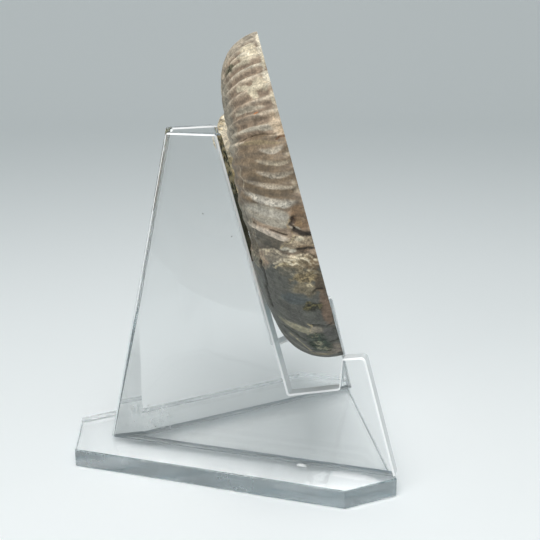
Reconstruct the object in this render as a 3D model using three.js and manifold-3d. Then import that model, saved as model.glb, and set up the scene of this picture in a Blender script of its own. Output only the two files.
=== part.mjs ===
// Sawn half of a ribbed ammonite, leaning in a clear acrylic stand.
//
// Units are millimetres and +Z is up. +X is the front of the stand, where the sawn face
// looks. The origin is the centre of the base plate's underside.
//
// The stand is a six-sided base plate with two notched uprights glued on it in a V that
// closes at the back. The stone is one coiled solid. Its sawn face is flat and its other
// side is the natural shell, and it rests on the front lips of both uprights and leans
// back on their sloping edges.

import * as THREE from "three";
import { mergeVertices } from "three/addons/utils/BufferGeometryUtils.js";
import Module from "manifold-3d";

const wasm = await Module();
wasm.setup();

// Base plate: half lengths and widths of its six-sided outline
const basePlate = {
  thickness: 6,
  halfLength: 51.1,
  backHalfWidth: 13.0,
  sideCornerX: 33.4,
  sideHalfWidth: 50.5,
  frontHalfWidth: 44.3,
};

// Uprights: the outline is drawn along the run (s) and up the sheet (h)
const upright = {
  thickness: 5,
  openingAngle: THREE.MathUtils.degToRad(23.6),
  backX: -39.3,
  axisY: -4.25,
  cornerGap: 0.55,
  runLength: 98,
  lipFront: [87.2, 38.7],
  lipBack: [80.1, 37.3],
  notchFront: [79.4, 27.4],
  notchBack: [63.1, 23.5],
  topFront: [39.9, 104.7],
  topBack: [23.3, 104.7],
  lipRounding: 1.4,
  notchRounding: 0.5,
  arcSteps: 3,
};

// Clearances: the cement film under the uprights and half of the gap in the back corner
const cementFilm = 0.15;
const halfMitreGap = 0.15;

// Ammonite: angles run from the top of the sawn face, towards the left upright
const shell = {
  centre: new THREE.Vector3(23.84, -8.14, 94.41),
  lean: THREE.MathUtils.degToRad(15.3),
  turn: THREE.MathUtils.degToRad(-5.46),
  radiusAtTop: 48.25,
  radiusGrowth: 1.5,
  heightAtTop: 15.1,
  heightGrowth: 1.58,
  endAngle: 294,
  swell: 0.097,
  swellFrom: 165,
  swellFullAt: 215,
  bulge: 0.065,
  bulgeRise: [45, 90],
  bulgeFall: [122, 152],
  umbilicusRatio: 0.45,
  crestAt: 0.35,
  rimRoundness: 2.25,
  seamHeight: 0.62,
  innerWhorls: 3,
};

// Ribs: pairs of fine ribs on the rim join into single ribs on the flank
const ribs = {
  perWhorl: 72,
  stepsPerRib: 3,
  depthPerRadius: 0.021,
  forwardSweep: 7.5,
  sweepStart: 0.45,
  forkFrom: 0.5,
  forkTo: 0.72,
  umbilicalFade: 0.22,
  wornShare: 0.75,
  wornRise: [88, 100],
  wornFall: [178, 200],
};

const colours = {
  stone: 0x8a7a66,
  acrylic: 0xe9eff0,
};

function stoneMaterial() {
  return new THREE.MeshStandardMaterial({ color: colours.stone, roughness: 0.65, metalness: 0 });
}

function acrylicMaterial() {
  return new THREE.MeshStandardMaterial({
    color: colours.acrylic,
    roughness: 0.05,
    metalness: 0,
    transparent: true,
    opacity: 0.3,
  });
}

// Merge a geometry's corners and hand it over as a closed solid
function toSolid(geometry) {
  const bare = geometry.clone();
  bare.deleteAttribute("normal");
  bare.deleteAttribute("uv");
  const merged = mergeVertices(bare, 1e-4);
  return new wasm.Manifold(new wasm.Mesh({
    numProp: 3,
    vertProperties: new Float32Array(merged.attributes.position.array),
    triVerts: new Uint32Array(merged.index.array),
  }));
}

// Turn a closed solid back into a drawable geometry
function toGeometry(solid) {
  const mesh = solid.getMesh();
  const geometry = new THREE.BufferGeometry();
  geometry.setAttribute("position", new THREE.BufferAttribute(new Float32Array(mesh.vertProperties), 3));
  geometry.setIndex(new THREE.BufferAttribute(new Uint32Array(mesh.triVerts), 1));
  geometry.computeVertexNormals();
  return geometry;
}

function makeBasePlate() {
  const { thickness, halfLength, backHalfWidth, sideCornerX, sideHalfWidth, frontHalfWidth } = basePlate;
  const outline = new THREE.Shape();
  outline.moveTo(-halfLength, -backHalfWidth);
  outline.lineTo(sideCornerX, -sideHalfWidth);
  outline.lineTo(halfLength, -frontHalfWidth);
  outline.lineTo(halfLength, frontHalfWidth);
  outline.lineTo(sideCornerX, sideHalfWidth);
  outline.lineTo(-halfLength, backHalfWidth);
  outline.closePath();
  const geometry = new THREE.ExtrudeGeometry(outline, { depth: thickness, bevelEnabled: false });
  const mesh = new THREE.Mesh(geometry, acrylicMaterial());
  mesh.name = "base_plate";
  return mesh;
}

// Outline through the given corners, each rounded by its own distance along the edges
function roundedOutline(corners) {
  const shape = new THREE.Shape();
  const count = corners.length;
  corners.forEach(([x, y, rounding], i) => {
    const corner = new THREE.Vector2(x, y);
    const before = new THREE.Vector2(...corners[(i + count - 1) % count]);
    const after = new THREE.Vector2(...corners[(i + 1) % count]);
    const enter = corner.clone().add(before.sub(corner).setLength(rounding));
    const leave = corner.clone().add(after.sub(corner).setLength(rounding));
    if (i === 0) shape.moveTo(enter.x, enter.y);
    else shape.lineTo(enter.x, enter.y);
    if (rounding > 0) shape.quadraticCurveTo(corner.x, corner.y, leave.x, leave.y);
  });
  shape.closePath();
  return shape;
}

// One upright, standing on its run along +X with its outer face on y = 0
function uprightBlank() {
  const { lipRounding, notchRounding } = upright;
  const outline = roundedOutline([
    [0, 0, 0],
    [upright.runLength, 0, 0],
    [...upright.lipFront, lipRounding],
    [...upright.lipBack, notchRounding],
    [...upright.notchFront, notchRounding],
    [...upright.notchBack, notchRounding],
    [...upright.topFront, 0],
    [...upright.topBack, 0],
  ]);
  const options = { depth: upright.thickness, bevelEnabled: false, curveSegments: upright.arcSteps };
  const geometry = new THREE.ExtrudeGeometry(outline, options);
  geometry.rotateX(Math.PI / 2);
  geometry.translate(0, upright.thickness, 0);
  return geometry;
}

// Uprights on both sides of the stand's axis; the left one is on the -Y side
function makeUpright(name, side) {
  const blank = uprightBlank();
  blank.rotateZ(-upright.openingAngle);
  blank.translate(upright.backX, upright.axisY - upright.cornerGap, basePlate.thickness + cementFilm);
  const reach = 300;
  const keep = new THREE.BoxGeometry(reach, reach, reach);
  keep.translate(0, upright.axisY - halfMitreGap - reach / 2, 0);
  const geometry = toGeometry(toSolid(blank).intersect(toSolid(keep)));
  if (side > 0) mirrorAcrossAxis(geometry);
  const mesh = new THREE.Mesh(geometry, acrylicMaterial());
  mesh.name = name;
  return mesh;
}

// Mirror a geometry in the stand's axis plane and turn its faces outwards again
function mirrorAcrossAxis(geometry) {
  geometry.translate(0, -upright.axisY, 0);
  geometry.scale(1, -1, 1);
  geometry.translate(0, upright.axisY, 0);
  const order = geometry.index.array;
  for (let i = 0; i < order.length; i += 3) [order[i], order[i + 1]] = [order[i + 1], order[i]];
  geometry.computeVertexNormals();
}

function smooth(from, to, value) {
  return THREE.MathUtils.smoothstep(value, from, to);
}

function outerRadius(angle) {
  return shell.radiusAtTop * shell.radiusGrowth ** (angle / 360);
}

// Rise to 1 over one range of angles and fall back over another
function plateau(rise, fall, angle) {
  return smooth(...rise, angle) * (1 - smooth(...fall, angle));
}

// Height of the flank above the saw cut, with a slight bulge beside the left upright and the
// swell that touches the right upright
function crestHeight(angle) {
  const bulging = shell.bulge * plateau(shell.bulgeRise, shell.bulgeFall, angle);
  const swelling = 1 + bulging + shell.swell * smooth(shell.swellFrom, shell.swellFullAt, angle);
  return shell.heightAtTop * shell.heightGrowth ** (angle / 360) * swelling;
}

// Half section of the whorl: height above the saw cut at a share of the way to the rim
function sectionHeight(share) {
  const { crestAt, seamHeight, rimRoundness } = shell;
  if (share >= crestAt) {
    const outward = (share - crestAt) / (1 - crestAt);
    return Math.max(0, 1 - outward ** rimRoundness) ** (1 / rimRoundness);
  }
  const inward = (crestAt - share) / crestAt;
  return seamHeight + (1 - seamHeight) * Math.sqrt(Math.max(0, 1 - inward ** 3));
}

// Rib height between 0 in a groove and 1 on a crest
function ribWave(angle, share) {
  const sweep = ribs.forwardSweep * Math.max(0, (share - ribs.sweepStart) / (1 - ribs.sweepStart));
  const turn = THREE.MathUtils.degToRad(angle - sweep) * ribs.perWhorl;
  const fork = smooth(ribs.forkFrom, ribs.forkTo, share);
  const single = 0.5 + 0.5 * Math.cos(turn / 2);
  const paired = 0.5 + 0.5 * Math.cos(turn);
  return THREE.MathUtils.lerp(single, paired, fork);
}

// Share of the full rib depth that is left, less where the shell is worn smooth
function ribDepth(angle) {
  return 1 - ribs.wornShare * plateau(ribs.wornRise, ribs.wornFall, angle);
}

// Point of the shell's skin: radius and height at an angle and a share across the whorl
function skinPoint(angle, share) {
  const rim = outerRadius(angle);
  const seam = rim * shell.umbilicusRatio;
  const height = crestHeight(angle);
  const at = (s) => new THREE.Vector2(THREE.MathUtils.lerp(seam, rim, s), height * sectionHeight(s));
  const point = at(share);
  const along = at(Math.min(1, share + 0.01)).sub(at(Math.max(0, share - 0.01))).normalize();
  const outward = share > 0.999 ? new THREE.Vector2(1, 0) : new THREE.Vector2(-along.y, along.x);
  const groove = ribs.depthPerRadius * rim * ribDepth(angle) * smooth(0, ribs.umbilicalFade, share);
  return point.addScaledVector(outward, -groove * (1 - ribWave(angle, share)));
}

// Ammonite: coiled rows of points from the umbilicus out to the sawn rim
function makeAmmonite() {
  const positions = [];
  const triangles = [];
  const { umbilicusRatio, radiusGrowth, endAngle, innerWhorls } = shell;
  const coveredAt = (umbilicusRatio * (radiusGrowth - 1)) / (1 - umbilicusRatio);
  const innerShares = [0, 0.07, 0.17, 0.29, coveredAt];
  const rimShares = [0.53, 0.65, 0.76, 0.86, 0.94, 0.985, 1];
  const fullSteps = ribs.perWhorl * ribs.stepsPerRib;

  const addPoint = (angle, radius, height) => {
    const turn = THREE.MathUtils.degToRad(angle);
    positions.push(-radius * Math.sin(turn), radius * Math.cos(turn), -height);
    return positions.length / 3 - 1;
  };
  const addRow = (startAngle, share, steps) => Array.from({ length: steps + 1 }, (_, i) => {
    const angle = startAngle + (360 * i) / steps;
    const skin = skinPoint(angle, share);
    return addPoint(angle, skin.x, share === 1 ? 0 : skin.y);
  });
  const addTriangle = (a, b, c) => {
    if (a !== b && b !== c && c !== a) triangles.push(a, b, c);
  };
  // Strip between an inner row and an outer row with as many or twice as many steps
  const addStrip = (inner, outer) => {
    const ratio = (outer.length - 1) / (inner.length - 1);
    for (let i = 0; i < inner.length - 1; i += 1) {
      const from = i * ratio;
      addTriangle(inner[i], inner[i + 1], outer[from + ratio]);
      for (let k = ratio; k > 0; k -= 1) addTriangle(inner[i], outer[from + k], outer[from + k - 1]);
    }
  };

  // Rows of every whorl from the outermost in; a whorl's last inner row is the next one's seam
  const whorls = [];
  let seamRow = null;
  for (let k = 0; k <= innerWhorls; k += 1) {
    const start = endAngle - 360 * (k + 1);
    const steps = fullSteps / 2 ** k;
    const rows = innerShares.slice(1, -1).map((share) => addRow(start, share, steps));
    rows.push(k === 0 ? addRow(start, coveredAt, steps) : seamRow);
    const outward = k === 0 ? rimShares.map((share) => addRow(start, share, steps)) : [];
    seamRow = addRow(start - 360, coveredAt, steps);
    whorls.push([seamRow, ...rows, ...outward]);
  }
  // A whorl begins where the one inside it ends, so both share that column of points
  for (let k = 0; k < innerWhorls; k += 1) {
    for (let j = 1; j < innerShares.length; j += 1) {
      const inner = whorls[k + 1][j];
      const joined = whorls[k][j][0];
      if (j < innerShares.length - 1) inner[inner.length - 1] = joined;
      else whorls[k][0][whorls[k][0].length - 1] = joined;
    }
    const seamStart = whorls[k][0];
    const innerSeam = whorls[k + 1][0];
    innerSeam[innerSeam.length - 1] = seamStart[0];
  }
  const innermost = whorls[innerWhorls];
  innermost[0][innermost[0].length - 1] = innermost[innerShares.length - 1][0];
  whorls.forEach((rows) => {
    for (let j = 1; j < rows.length; j += 1) addStrip(rows[j - 1], rows[j]);
  });

  // Boss that closes the first turn
  const bossLoop = [...innermost[0], ...innermost.slice(1, innerShares.length - 1).map((row) => row[0]).reverse()];
  const bossAngle = endAngle - 360 * (innerWhorls + 1);
  const boss = addPoint(0, 0, crestHeight(bossAngle) * sectionHeight(shell.crestAt));
  bossLoop.forEach((point, i) => addTriangle(boss, bossLoop[(i + 1) % bossLoop.length], point));

  // End wall of the last whorl, standing on the turn below it
  const outer = whorls[0];
  const last = outer.map((row) => row[row.length - 1]);
  const below = outer.slice(innerShares.length).map((row) => row[0]);
  addFlatFace([...below, ...last.reverse()], (x, y, z) => new THREE.Vector2(Math.hypot(x, y), -z));

  // Sawn face
  const rimRow = outer[outer.length - 1];
  addFlatFace(rimRow, (x, y) => new THREE.Vector2(x, y));

  // Fill a flat ring of points, facing the side from which the ring runs against the clock
  function addFlatFace(ring, flatten) {
    const flat = ring.map((i) => flatten(...positions.slice(3 * i, 3 * i + 3)));
    const facing = THREE.ShapeUtils.isClockWise(flat) ? -1 : 1;
    THREE.ShapeUtils.triangulateShape(flat, []).forEach(([a, b, c]) => {
      const [p, q, r] = [flat[a], flat[b], flat[c]];
      const turn = (q.x - p.x) * (r.y - p.y) - (q.y - p.y) * (r.x - p.x);
      if (turn * facing > 0) addTriangle(ring[a], ring[b], ring[c]);
      else addTriangle(ring[a], ring[c], ring[b]);
    });
  }

  const raw = new THREE.BufferGeometry();
  raw.setAttribute("position", new THREE.Float32BufferAttribute(positions, 3));
  raw.setIndex(triangles);
  const mesh = new THREE.Mesh(toGeometry(toSolid(raw)), stoneMaterial());
  mesh.name = "ammonite";
  return mesh;
}

// Place the shell: its local Z is the sawn face's outward direction, local Y runs up that face
function leanShell(mesh) {
  const { lean, turn, centre } = shell;
  const front = new THREE.Vector3(Math.cos(lean) * Math.cos(turn), Math.cos(lean) * Math.sin(turn), Math.sin(lean));
  const up = new THREE.Vector3(-Math.sin(lean) * Math.cos(turn), -Math.sin(lean) * Math.sin(turn), Math.cos(lean));
  const across = new THREE.Vector3().crossVectors(up, front);
  mesh.quaternion.setFromRotationMatrix(new THREE.Matrix4().makeBasis(across, up, front));
  mesh.position.copy(centre);
  return mesh;
}

const object = new THREE.Group();
object.add(makeBasePlate());
object.add(makeUpright("left_upright", -1));
object.add(makeUpright("right_upright", 1));
object.add(leanShell(makeAmmonite()));

export default object;
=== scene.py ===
"""Sawn half of a ribbed ammonite, leaning back in a clear acrylic stand."""

import logging
import math
from collections.abc import Callable, Iterator
from contextlib import contextmanager
from dataclasses import dataclass, field
from enum import Enum

import bpy
import numpy as np
from mathutils import Matrix, Vector, noise


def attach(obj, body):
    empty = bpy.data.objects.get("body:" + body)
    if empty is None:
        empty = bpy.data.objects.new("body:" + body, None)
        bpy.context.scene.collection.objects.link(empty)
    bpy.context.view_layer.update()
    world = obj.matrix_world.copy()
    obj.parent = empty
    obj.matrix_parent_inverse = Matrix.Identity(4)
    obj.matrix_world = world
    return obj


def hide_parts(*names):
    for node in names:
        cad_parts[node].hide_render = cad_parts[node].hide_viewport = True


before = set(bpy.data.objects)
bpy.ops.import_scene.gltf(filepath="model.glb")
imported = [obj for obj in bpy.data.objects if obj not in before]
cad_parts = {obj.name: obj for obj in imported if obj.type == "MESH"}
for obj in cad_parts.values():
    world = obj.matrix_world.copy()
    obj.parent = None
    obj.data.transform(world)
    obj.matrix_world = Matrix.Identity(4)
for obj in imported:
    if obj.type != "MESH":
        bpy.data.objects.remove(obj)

log = logging.getLogger("ammonite_stand")
Corner = tuple[float, float]
Point = tuple[float, float, float]
Colour = tuple[float, float, float]
Shown = tuple[int, int, int]
Input = float | bpy.types.NodeSocket
Array = np.ndarray

MM = 0.001
SAME_CORNER = 1e-7
SMOOTH_BELOW = math.radians(50)
FACING = 0.99


# Small tools for editing in Blender

def deselect() -> None:
    """Leave nothing selected, the CAD nodes included."""
    if bpy.context.object and bpy.context.object.mode != "OBJECT":
        bpy.ops.object.mode_set(mode="OBJECT")
    bpy.ops.object.select_all(action="DESELECT")


def make_active(piece: bpy.types.Object) -> None:
    """Select one piece alone and make it the active one.

    Args:
        piece: The object to work on.
    """
    deselect()
    piece.select_set(True)
    bpy.context.view_layer.objects.active = piece


def settle(piece: bpy.types.Object) -> None:
    """Move a piece's place into its mesh, so that its object sits at the origin.

    Args:
        piece: The object whose transform is applied.
    """
    make_active(piece)
    bpy.ops.object.transform_apply(location=True, rotation=True, scale=True)


@contextmanager
def editing(piece: bpy.types.Object, select: str | None = "SELECT") -> Iterator[None]:
    """Edit one piece's mesh and go back to object mode afterwards.

    Args:
        piece: The object to edit.
        select: What to do with the whole mesh first, or None to keep what is selected.

    Yields:
        Nothing.
    """
    make_active(piece)
    bpy.ops.object.mode_set(mode="EDIT")
    if select:
        bpy.ops.mesh.select_all(action=select)
    yield
    bpy.ops.object.mode_set(mode="OBJECT")


def close_up(piece: bpy.types.Object) -> None:
    """Merge doubled corners and turn all faces outwards.

    Args:
        piece: The object whose mesh is closed up.
    """
    with editing(piece):
        bpy.ops.mesh.remove_doubles(threshold=SAME_CORNER)
        bpy.ops.mesh.normals_make_consistent(inside=False)


def finish_modifier(piece: bpy.types.Object, kind: str, **settings: float | int | str | bool) -> None:
    """Add one modifier and apply it.

    Args:
        piece: The object to modify.
        kind: Blender's name of the modifier type.
        **settings: Values for the modifier's properties.
    """
    make_active(piece)
    modifier = piece.modifiers.new(kind.title(), kind)
    for key, value in settings.items():
        setattr(modifier, key, value)
    bpy.ops.object.modifier_apply(modifier=modifier.name)


def fit_to_frame(piece: bpy.types.Object, slot: str, *nodes: str) -> None:
    """Attach a finished piece to the root body and hide the CAD nodes that it replaces.

    Args:
        piece: The finished object.
        slot: Name of the record's material slot; not used.
        *nodes: CAD nodes that the piece replaces.
    """
    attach(piece, "root")
    if nodes:
        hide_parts(*nodes)


# Node building

class NodeBench:
    """Adds nodes to one material and joins them up."""

    def __init__(self, name: str) -> None:
        """Start an empty material.

        Args:
            name: Name of the new material.
        """
        self.material = bpy.data.materials.new(name)
        self.material.use_nodes = True
        self.tree = self.material.node_tree
        self.tree.nodes.clear()
        self.output = self.tree.nodes.new("ShaderNodeOutputMaterial")

    def add(self, kind: str, **settings: object) -> bpy.types.Node:
        """Add a node and set its properties.

        Args:
            kind: Node type without its ShaderNode prefix.
            **settings: Values for the node's properties.

        Returns:
            The new node.
        """
        node = self.tree.nodes.new("ShaderNode" + kind)
        for key, value in settings.items():
            setattr(node, key, value)
        return node

    def feed(self, socket: bpy.types.NodeSocket, value: object) -> None:
        """Link a socket to another one, or set its value.

        Args:
            socket: The input to fill.
            value: A socket to link from, a number or a colour.
        """
        if isinstance(value, bpy.types.NodeSocket):
            self.tree.links.new(value, socket)
        elif isinstance(value, tuple) and len(value) == 3 and socket.type == "RGBA":
            socket.default_value = (*value, 1.0)
        else:
            socket.default_value = value

    def sum(self, operation: str, *values: Input) -> bpy.types.NodeSocket:
        """Do one step of arithmetic.

        Args:
            operation: Name of the Math node's operation.
            *values: Its inputs.

        Returns:
            The resulting value.
        """
        node = self.add("Math", operation=operation)
        for socket, value in zip(node.inputs, values):
            self.feed(socket, value)
        return node.outputs[0]

    def mix(self, share: Input, low: object, high: object) -> bpy.types.NodeSocket:
        """Mix two colours.

        Args:
            share: Share of the second colour.
            low: First colour.
            high: Second colour.

        Returns:
            The mixed colour.
        """
        node = self.add("Mix", data_type="RGBA", blend_type="MIX")
        self.feed(node.inputs["Factor"], share)
        self.feed(node.inputs[6], low)
        self.feed(node.inputs[7], high)
        return node.outputs[2]

    def shade(self, colour: bpy.types.NodeSocket, factor: Input) -> bpy.types.NodeSocket:
        """Lighten or darken a colour.

        Args:
            colour: The colour.
            factor: What its three parts are multiplied by.

        Returns:
            The changed colour.
        """
        node = self.add("VectorMath", operation="SCALE")
        self.feed(node.inputs[0], colour)
        self.feed(node.inputs["Scale"], factor)
        return node.outputs[0]

    def spread(
        self, value: Input, low: float, high: float, to_low: float = 0.0, to_high: float = 1.0,
    ) -> bpy.types.NodeSocket:
        """Stretch a range of values smoothly onto another.

        Args:
            value: The value to map.
            low: Where the range begins.
            high: Where it ends.
            to_low: Result at the beginning.
            to_high: Result at the end.

        Returns:
            The mapped value.
        """
        node = self.add("MapRange", interpolation_type="SMOOTHSTEP")
        for socket, number in zip(node.inputs, (value, low, high, to_low, to_high)):
            self.feed(socket, number)
        return node.outputs[0]

    def grain(
        self, place: Input, scale: float, detail: float = 4.0,
        roughness: float = 0.55, distortion: float = 0.0,
    ) -> bpy.types.NodeSocket:
        """Cloudy noise between 0 and 1.

        Args:
            place: Coordinates to read.
            scale: Number of features per metre.
            detail: Octaves of finer noise.
            roughness: Weight of the finer octaves.
            distortion: Amount of swirl.

        Returns:
            The noise value.
        """
        node = self.add("TexNoise")
        self.feed(node.inputs["Vector"], place)
        settings = {"Scale": scale, "Detail": detail, "Roughness": roughness, "Distortion": distortion}
        for key, number in settings.items():
            node.inputs[key].default_value = number
        return node.outputs["Fac"]

    def place(self) -> bpy.types.NodeSocket:
        """Coordinates of the piece itself, in metres."""
        return self.add("TexCoord").outputs["Object"]

    def attribute(self, name: str, part: str = "Fac") -> bpy.types.NodeSocket:
        """Values stored on the mesh.

        Args:
            name: Name of the attribute.
            part: Name of the output to read.

        Returns:
            The attribute's value or colour.
        """
        node = self.add("Attribute", attribute_type="GEOMETRY", attribute_name=name)
        return node.outputs[part]

    def relief(
        self, height: Input, distance: float, strength: float = 1.0, below: Input | None = None,
    ) -> bpy.types.NodeSocket:
        """Bump from a height value.

        Args:
            height: Height between 0 and 1.
            distance: Depth in metres of that range.
            strength: Share of the full effect.
            below: Normal of a coarser bump underneath.

        Returns:
            The bumped normal.
        """
        node = self.add("Bump")
        node.inputs["Distance"].default_value = distance
        node.inputs["Strength"].default_value = strength
        self.feed(node.inputs["Height"], height)
        if below is not None:
            self.feed(node.inputs["Normal"], below)
        return node.outputs[0]

    def surface(self, **inputs: object) -> bpy.types.Node:
        """Add the main shader and connect it.

        Args:
            **inputs: Its inputs by name, with _ for each space.

        Returns:
            The shader node.
        """
        shader = self.add("BsdfPrincipled")
        for key, value in inputs.items():
            self.feed(shader.inputs[key.replace("_", " ")], value)
        self.tree.links.new(shader.outputs[0], self.output.inputs["Surface"])
        return shader


# Finishes

@dataclass(frozen=True)
class ClearAcrylic:
    """Clear acrylic sheet with polished faces and, on one of them, a few scuffs."""

    name: str = "clear_acrylic"
    refraction: float = 1.49
    surface: Colour = (1.0, 1.0, 1.0)
    tint: Colour = (0.86, 0.94, 0.96)
    absorption: float = 5.0
    scuffs_from: Point | None = None
    scuffs_to: Point | None = None
    scuff_roughness: float = 0.45
    scuff_border: float = 0.35
    scuff_scale: float = 520.0
    scuff_range: Corner = (0.52, 0.60)
    clearness: float = 1.0

    def scuffing(self, bench: NodeBench) -> Input:
        """Roughness of the face, raised where it is scuffed.

        Args:
            bench: The material's nodes.

        Returns:
            The roughness.
        """
        if self.scuffs_from is None or self.scuffs_to is None:
            return 0.0
        place = bench.place()
        parts = bench.add("SeparateXYZ")
        bench.feed(parts.inputs[0], place)
        share: Input = self.scuff_roughness
        for axis, (low, high) in enumerate(zip(self.scuffs_from, self.scuffs_to)):
            margin = (high - low) * self.scuff_border
            rise = bench.spread(parts.outputs[axis], low, low + margin)
            fall = bench.spread(parts.outputs[axis], high - margin, high, 1.0, 0.0)
            share = bench.sum("MULTIPLY", bench.sum("MULTIPLY", share, rise), fall)
        streaks = bench.grain(place, self.scuff_scale, roughness=0.7, distortion=1.0)
        return bench.sum("MULTIPLY", share, bench.spread(streaks, *self.scuff_range))

    def material(self) -> bpy.types.Material:
        """Make the material.

        Returns:
            Clear transmission with a slight absorption in its body.
        """
        bench = NodeBench(self.name)
        shader = bench.surface(Base_Color=self.surface, Roughness=self.scuffing(bench))
        self.fill_body(bench, shader)
        return bench.material

    def fill_body(self, bench: NodeBench, shader: bpy.types.Node) -> None:
        """Make a shader see-through and give the body its absorption.

        Args:
            bench: The material's nodes.
            shader: The main shader.
        """
        shader.inputs["Transmission Weight"].default_value = self.clearness
        shader.inputs["IOR"].default_value = self.refraction
        body = bench.add("VolumeAbsorption")
        body.inputs["Color"].default_value = (*self.tint, 1.0)
        body.inputs["Density"].default_value = self.absorption
        bench.tree.links.new(body.outputs[0], bench.output.inputs["Volume"])


@dataclass(frozen=True)
class SawnAcrylic(ClearAcrylic):
    """Duller edge or glued foot of an acrylic sheet, with saw streaks along it."""

    name: str = "sawn_acrylic"
    surface: Colour = (0.67, 0.69, 0.705)
    dull: float = 0.10
    duller: float = 0.30
    streak_depth: float = 0.12 * MM
    streak_length: float = 0.05
    streak_scale: float = 520.0
    streak_range: Corner = (0.40, 0.60)
    streak_darkness: float = 0.80
    chip_scale: float = 90.0
    chip_range: Corner = (0.35, 0.65)
    cloud_scale: float = 30.0
    cloud_range: Corner = (0.38, 0.62)
    cloud_tones: Corner = (0.80, 1.12)

    def material(self) -> bpy.types.Material:
        """Make the material.

        Returns:
            Slightly grey, rough transmission with faint streaks.
        """
        bench = NodeBench(self.name)
        place = bench.place()
        stretched = bench.add("VectorMath", operation="MULTIPLY")
        bench.feed(stretched.inputs[0], place)
        stretched.inputs[1].default_value = (self.streak_length, self.streak_length, 1.0)
        streaks = bench.grain(stretched.outputs[0], self.streak_scale, detail=3.0)
        chips = bench.grain(place, self.chip_scale, roughness=0.65)
        darker = tuple(self.streak_darkness * part for part in self.surface)
        streaked = bench.mix(bench.spread(streaks, *self.streak_range), darker, self.surface)
        clouds = bench.grain(place, self.cloud_scale, roughness=0.6)
        tone = bench.shade(streaked, bench.spread(clouds, *self.cloud_range, *self.cloud_tones))
        rough = bench.spread(chips, *self.chip_range, self.dull, self.duller)
        uneven = bench.relief(streaks, self.streak_depth, 0.6)
        shader = bench.surface(Base_Color=tone, Roughness=rough, Normal=uneven)
        self.fill_body(bench, shader)
        return bench.material


@dataclass(frozen=True)
class PaintedHighlightEdge(ClearAcrylic):
    """Painted highlight: whitish surface along the edges of an upright."""

    name: str = "painted_highlight_corner_acrylic"
    surface: Colour = (0.99, 0.99, 0.99)
    clearness: float = 0.2
    dull: float = 0.2

    def material(self) -> bpy.types.Material:
        """Make the material.

        Returns:
            Whitish surface that is hardly see-through, as a painted highlight.
        """
        bench = NodeBench(self.name)
        shader = bench.surface(Base_Color=self.surface, Roughness=self.dull)
        self.fill_body(bench, shader)
        return bench.material


@dataclass(frozen=True)
class ShadedEdge(PaintedHighlightEdge):
    """Edge of an upright with a painted reflection of the stone leaning on it: dark green, golden farther up.
    """

    name: str = "shaded_edge_acrylic"
    # Dark green of the stone's back and gold of its far end, painted as a reflection
    surface: Colour = (0.07, 0.085, 0.05)
    golden: Colour = (0.86, 0.72, 0.42)
    golden_above: float = 94.0 * MM
    fading: float = 6 * MM
    border_scale: float = 300.0
    mottle_scale: float = 520.0
    mottle_range: Corner = (0.42, 0.60)

    def material(self) -> bpy.types.Material:
        """Make the material.

        Returns:
            Painted reflection of the stone: dark green surface that turns golden upwards.
        """
        bench = NodeBench(self.name)
        parts, place = bench.add("SeparateXYZ"), bench.place()
        bench.feed(parts.inputs[0], place)
        waver = bench.sum("MULTIPLY", bench.grain(place, self.border_scale), self.fading)
        level = bench.sum("ADD", parts.outputs["Z"], waver)
        mottle = bench.spread(bench.grain(place, self.mottle_scale), *self.mottle_range)
        mottled = bench.mix(mottle, self.surface, self.golden)
        share = bench.spread(level, self.golden_above, self.golden_above + self.fading)
        tone = bench.mix(share, self.surface, mottled)
        shader = bench.surface(Base_Color=tone, Roughness=self.dull)
        self.fill_body(bench, shader)
        return bench.material


@dataclass(frozen=True)
class DriedCement:
    """Whitish dried drop of acrylic cement."""

    name: str = "dried_cement"
    colour: Colour = (0.86, 0.87, 0.87)
    clearness: float = 0.2
    roughness: float = 0.12
    refraction: float = 1.45

    def material(self) -> bpy.types.Material:
        """Make the material.

        Returns:
            Glossy whitish surface that is hardly see-through.
        """
        bench = NodeBench(self.name)
        shader = bench.surface(Base_Color=self.colour, Roughness=self.roughness)
        shader.inputs["Transmission Weight"].default_value = self.clearness
        shader.inputs["IOR"].default_value = self.refraction
        return bench.material


@dataclass(frozen=True)
class MattPaint:
    """Plain matt surface of one colour, for the dust and the floor."""

    name: str
    colour: Colour
    roughness: float = 0.9

    def material(self) -> bpy.types.Material:
        """Make the material.

        Returns:
            Plain matt surface.
        """
        bench = NodeBench(self.name)
        bench.surface(Base_Color=self.colour, Roughness=self.roughness)
        return bench.material


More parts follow.
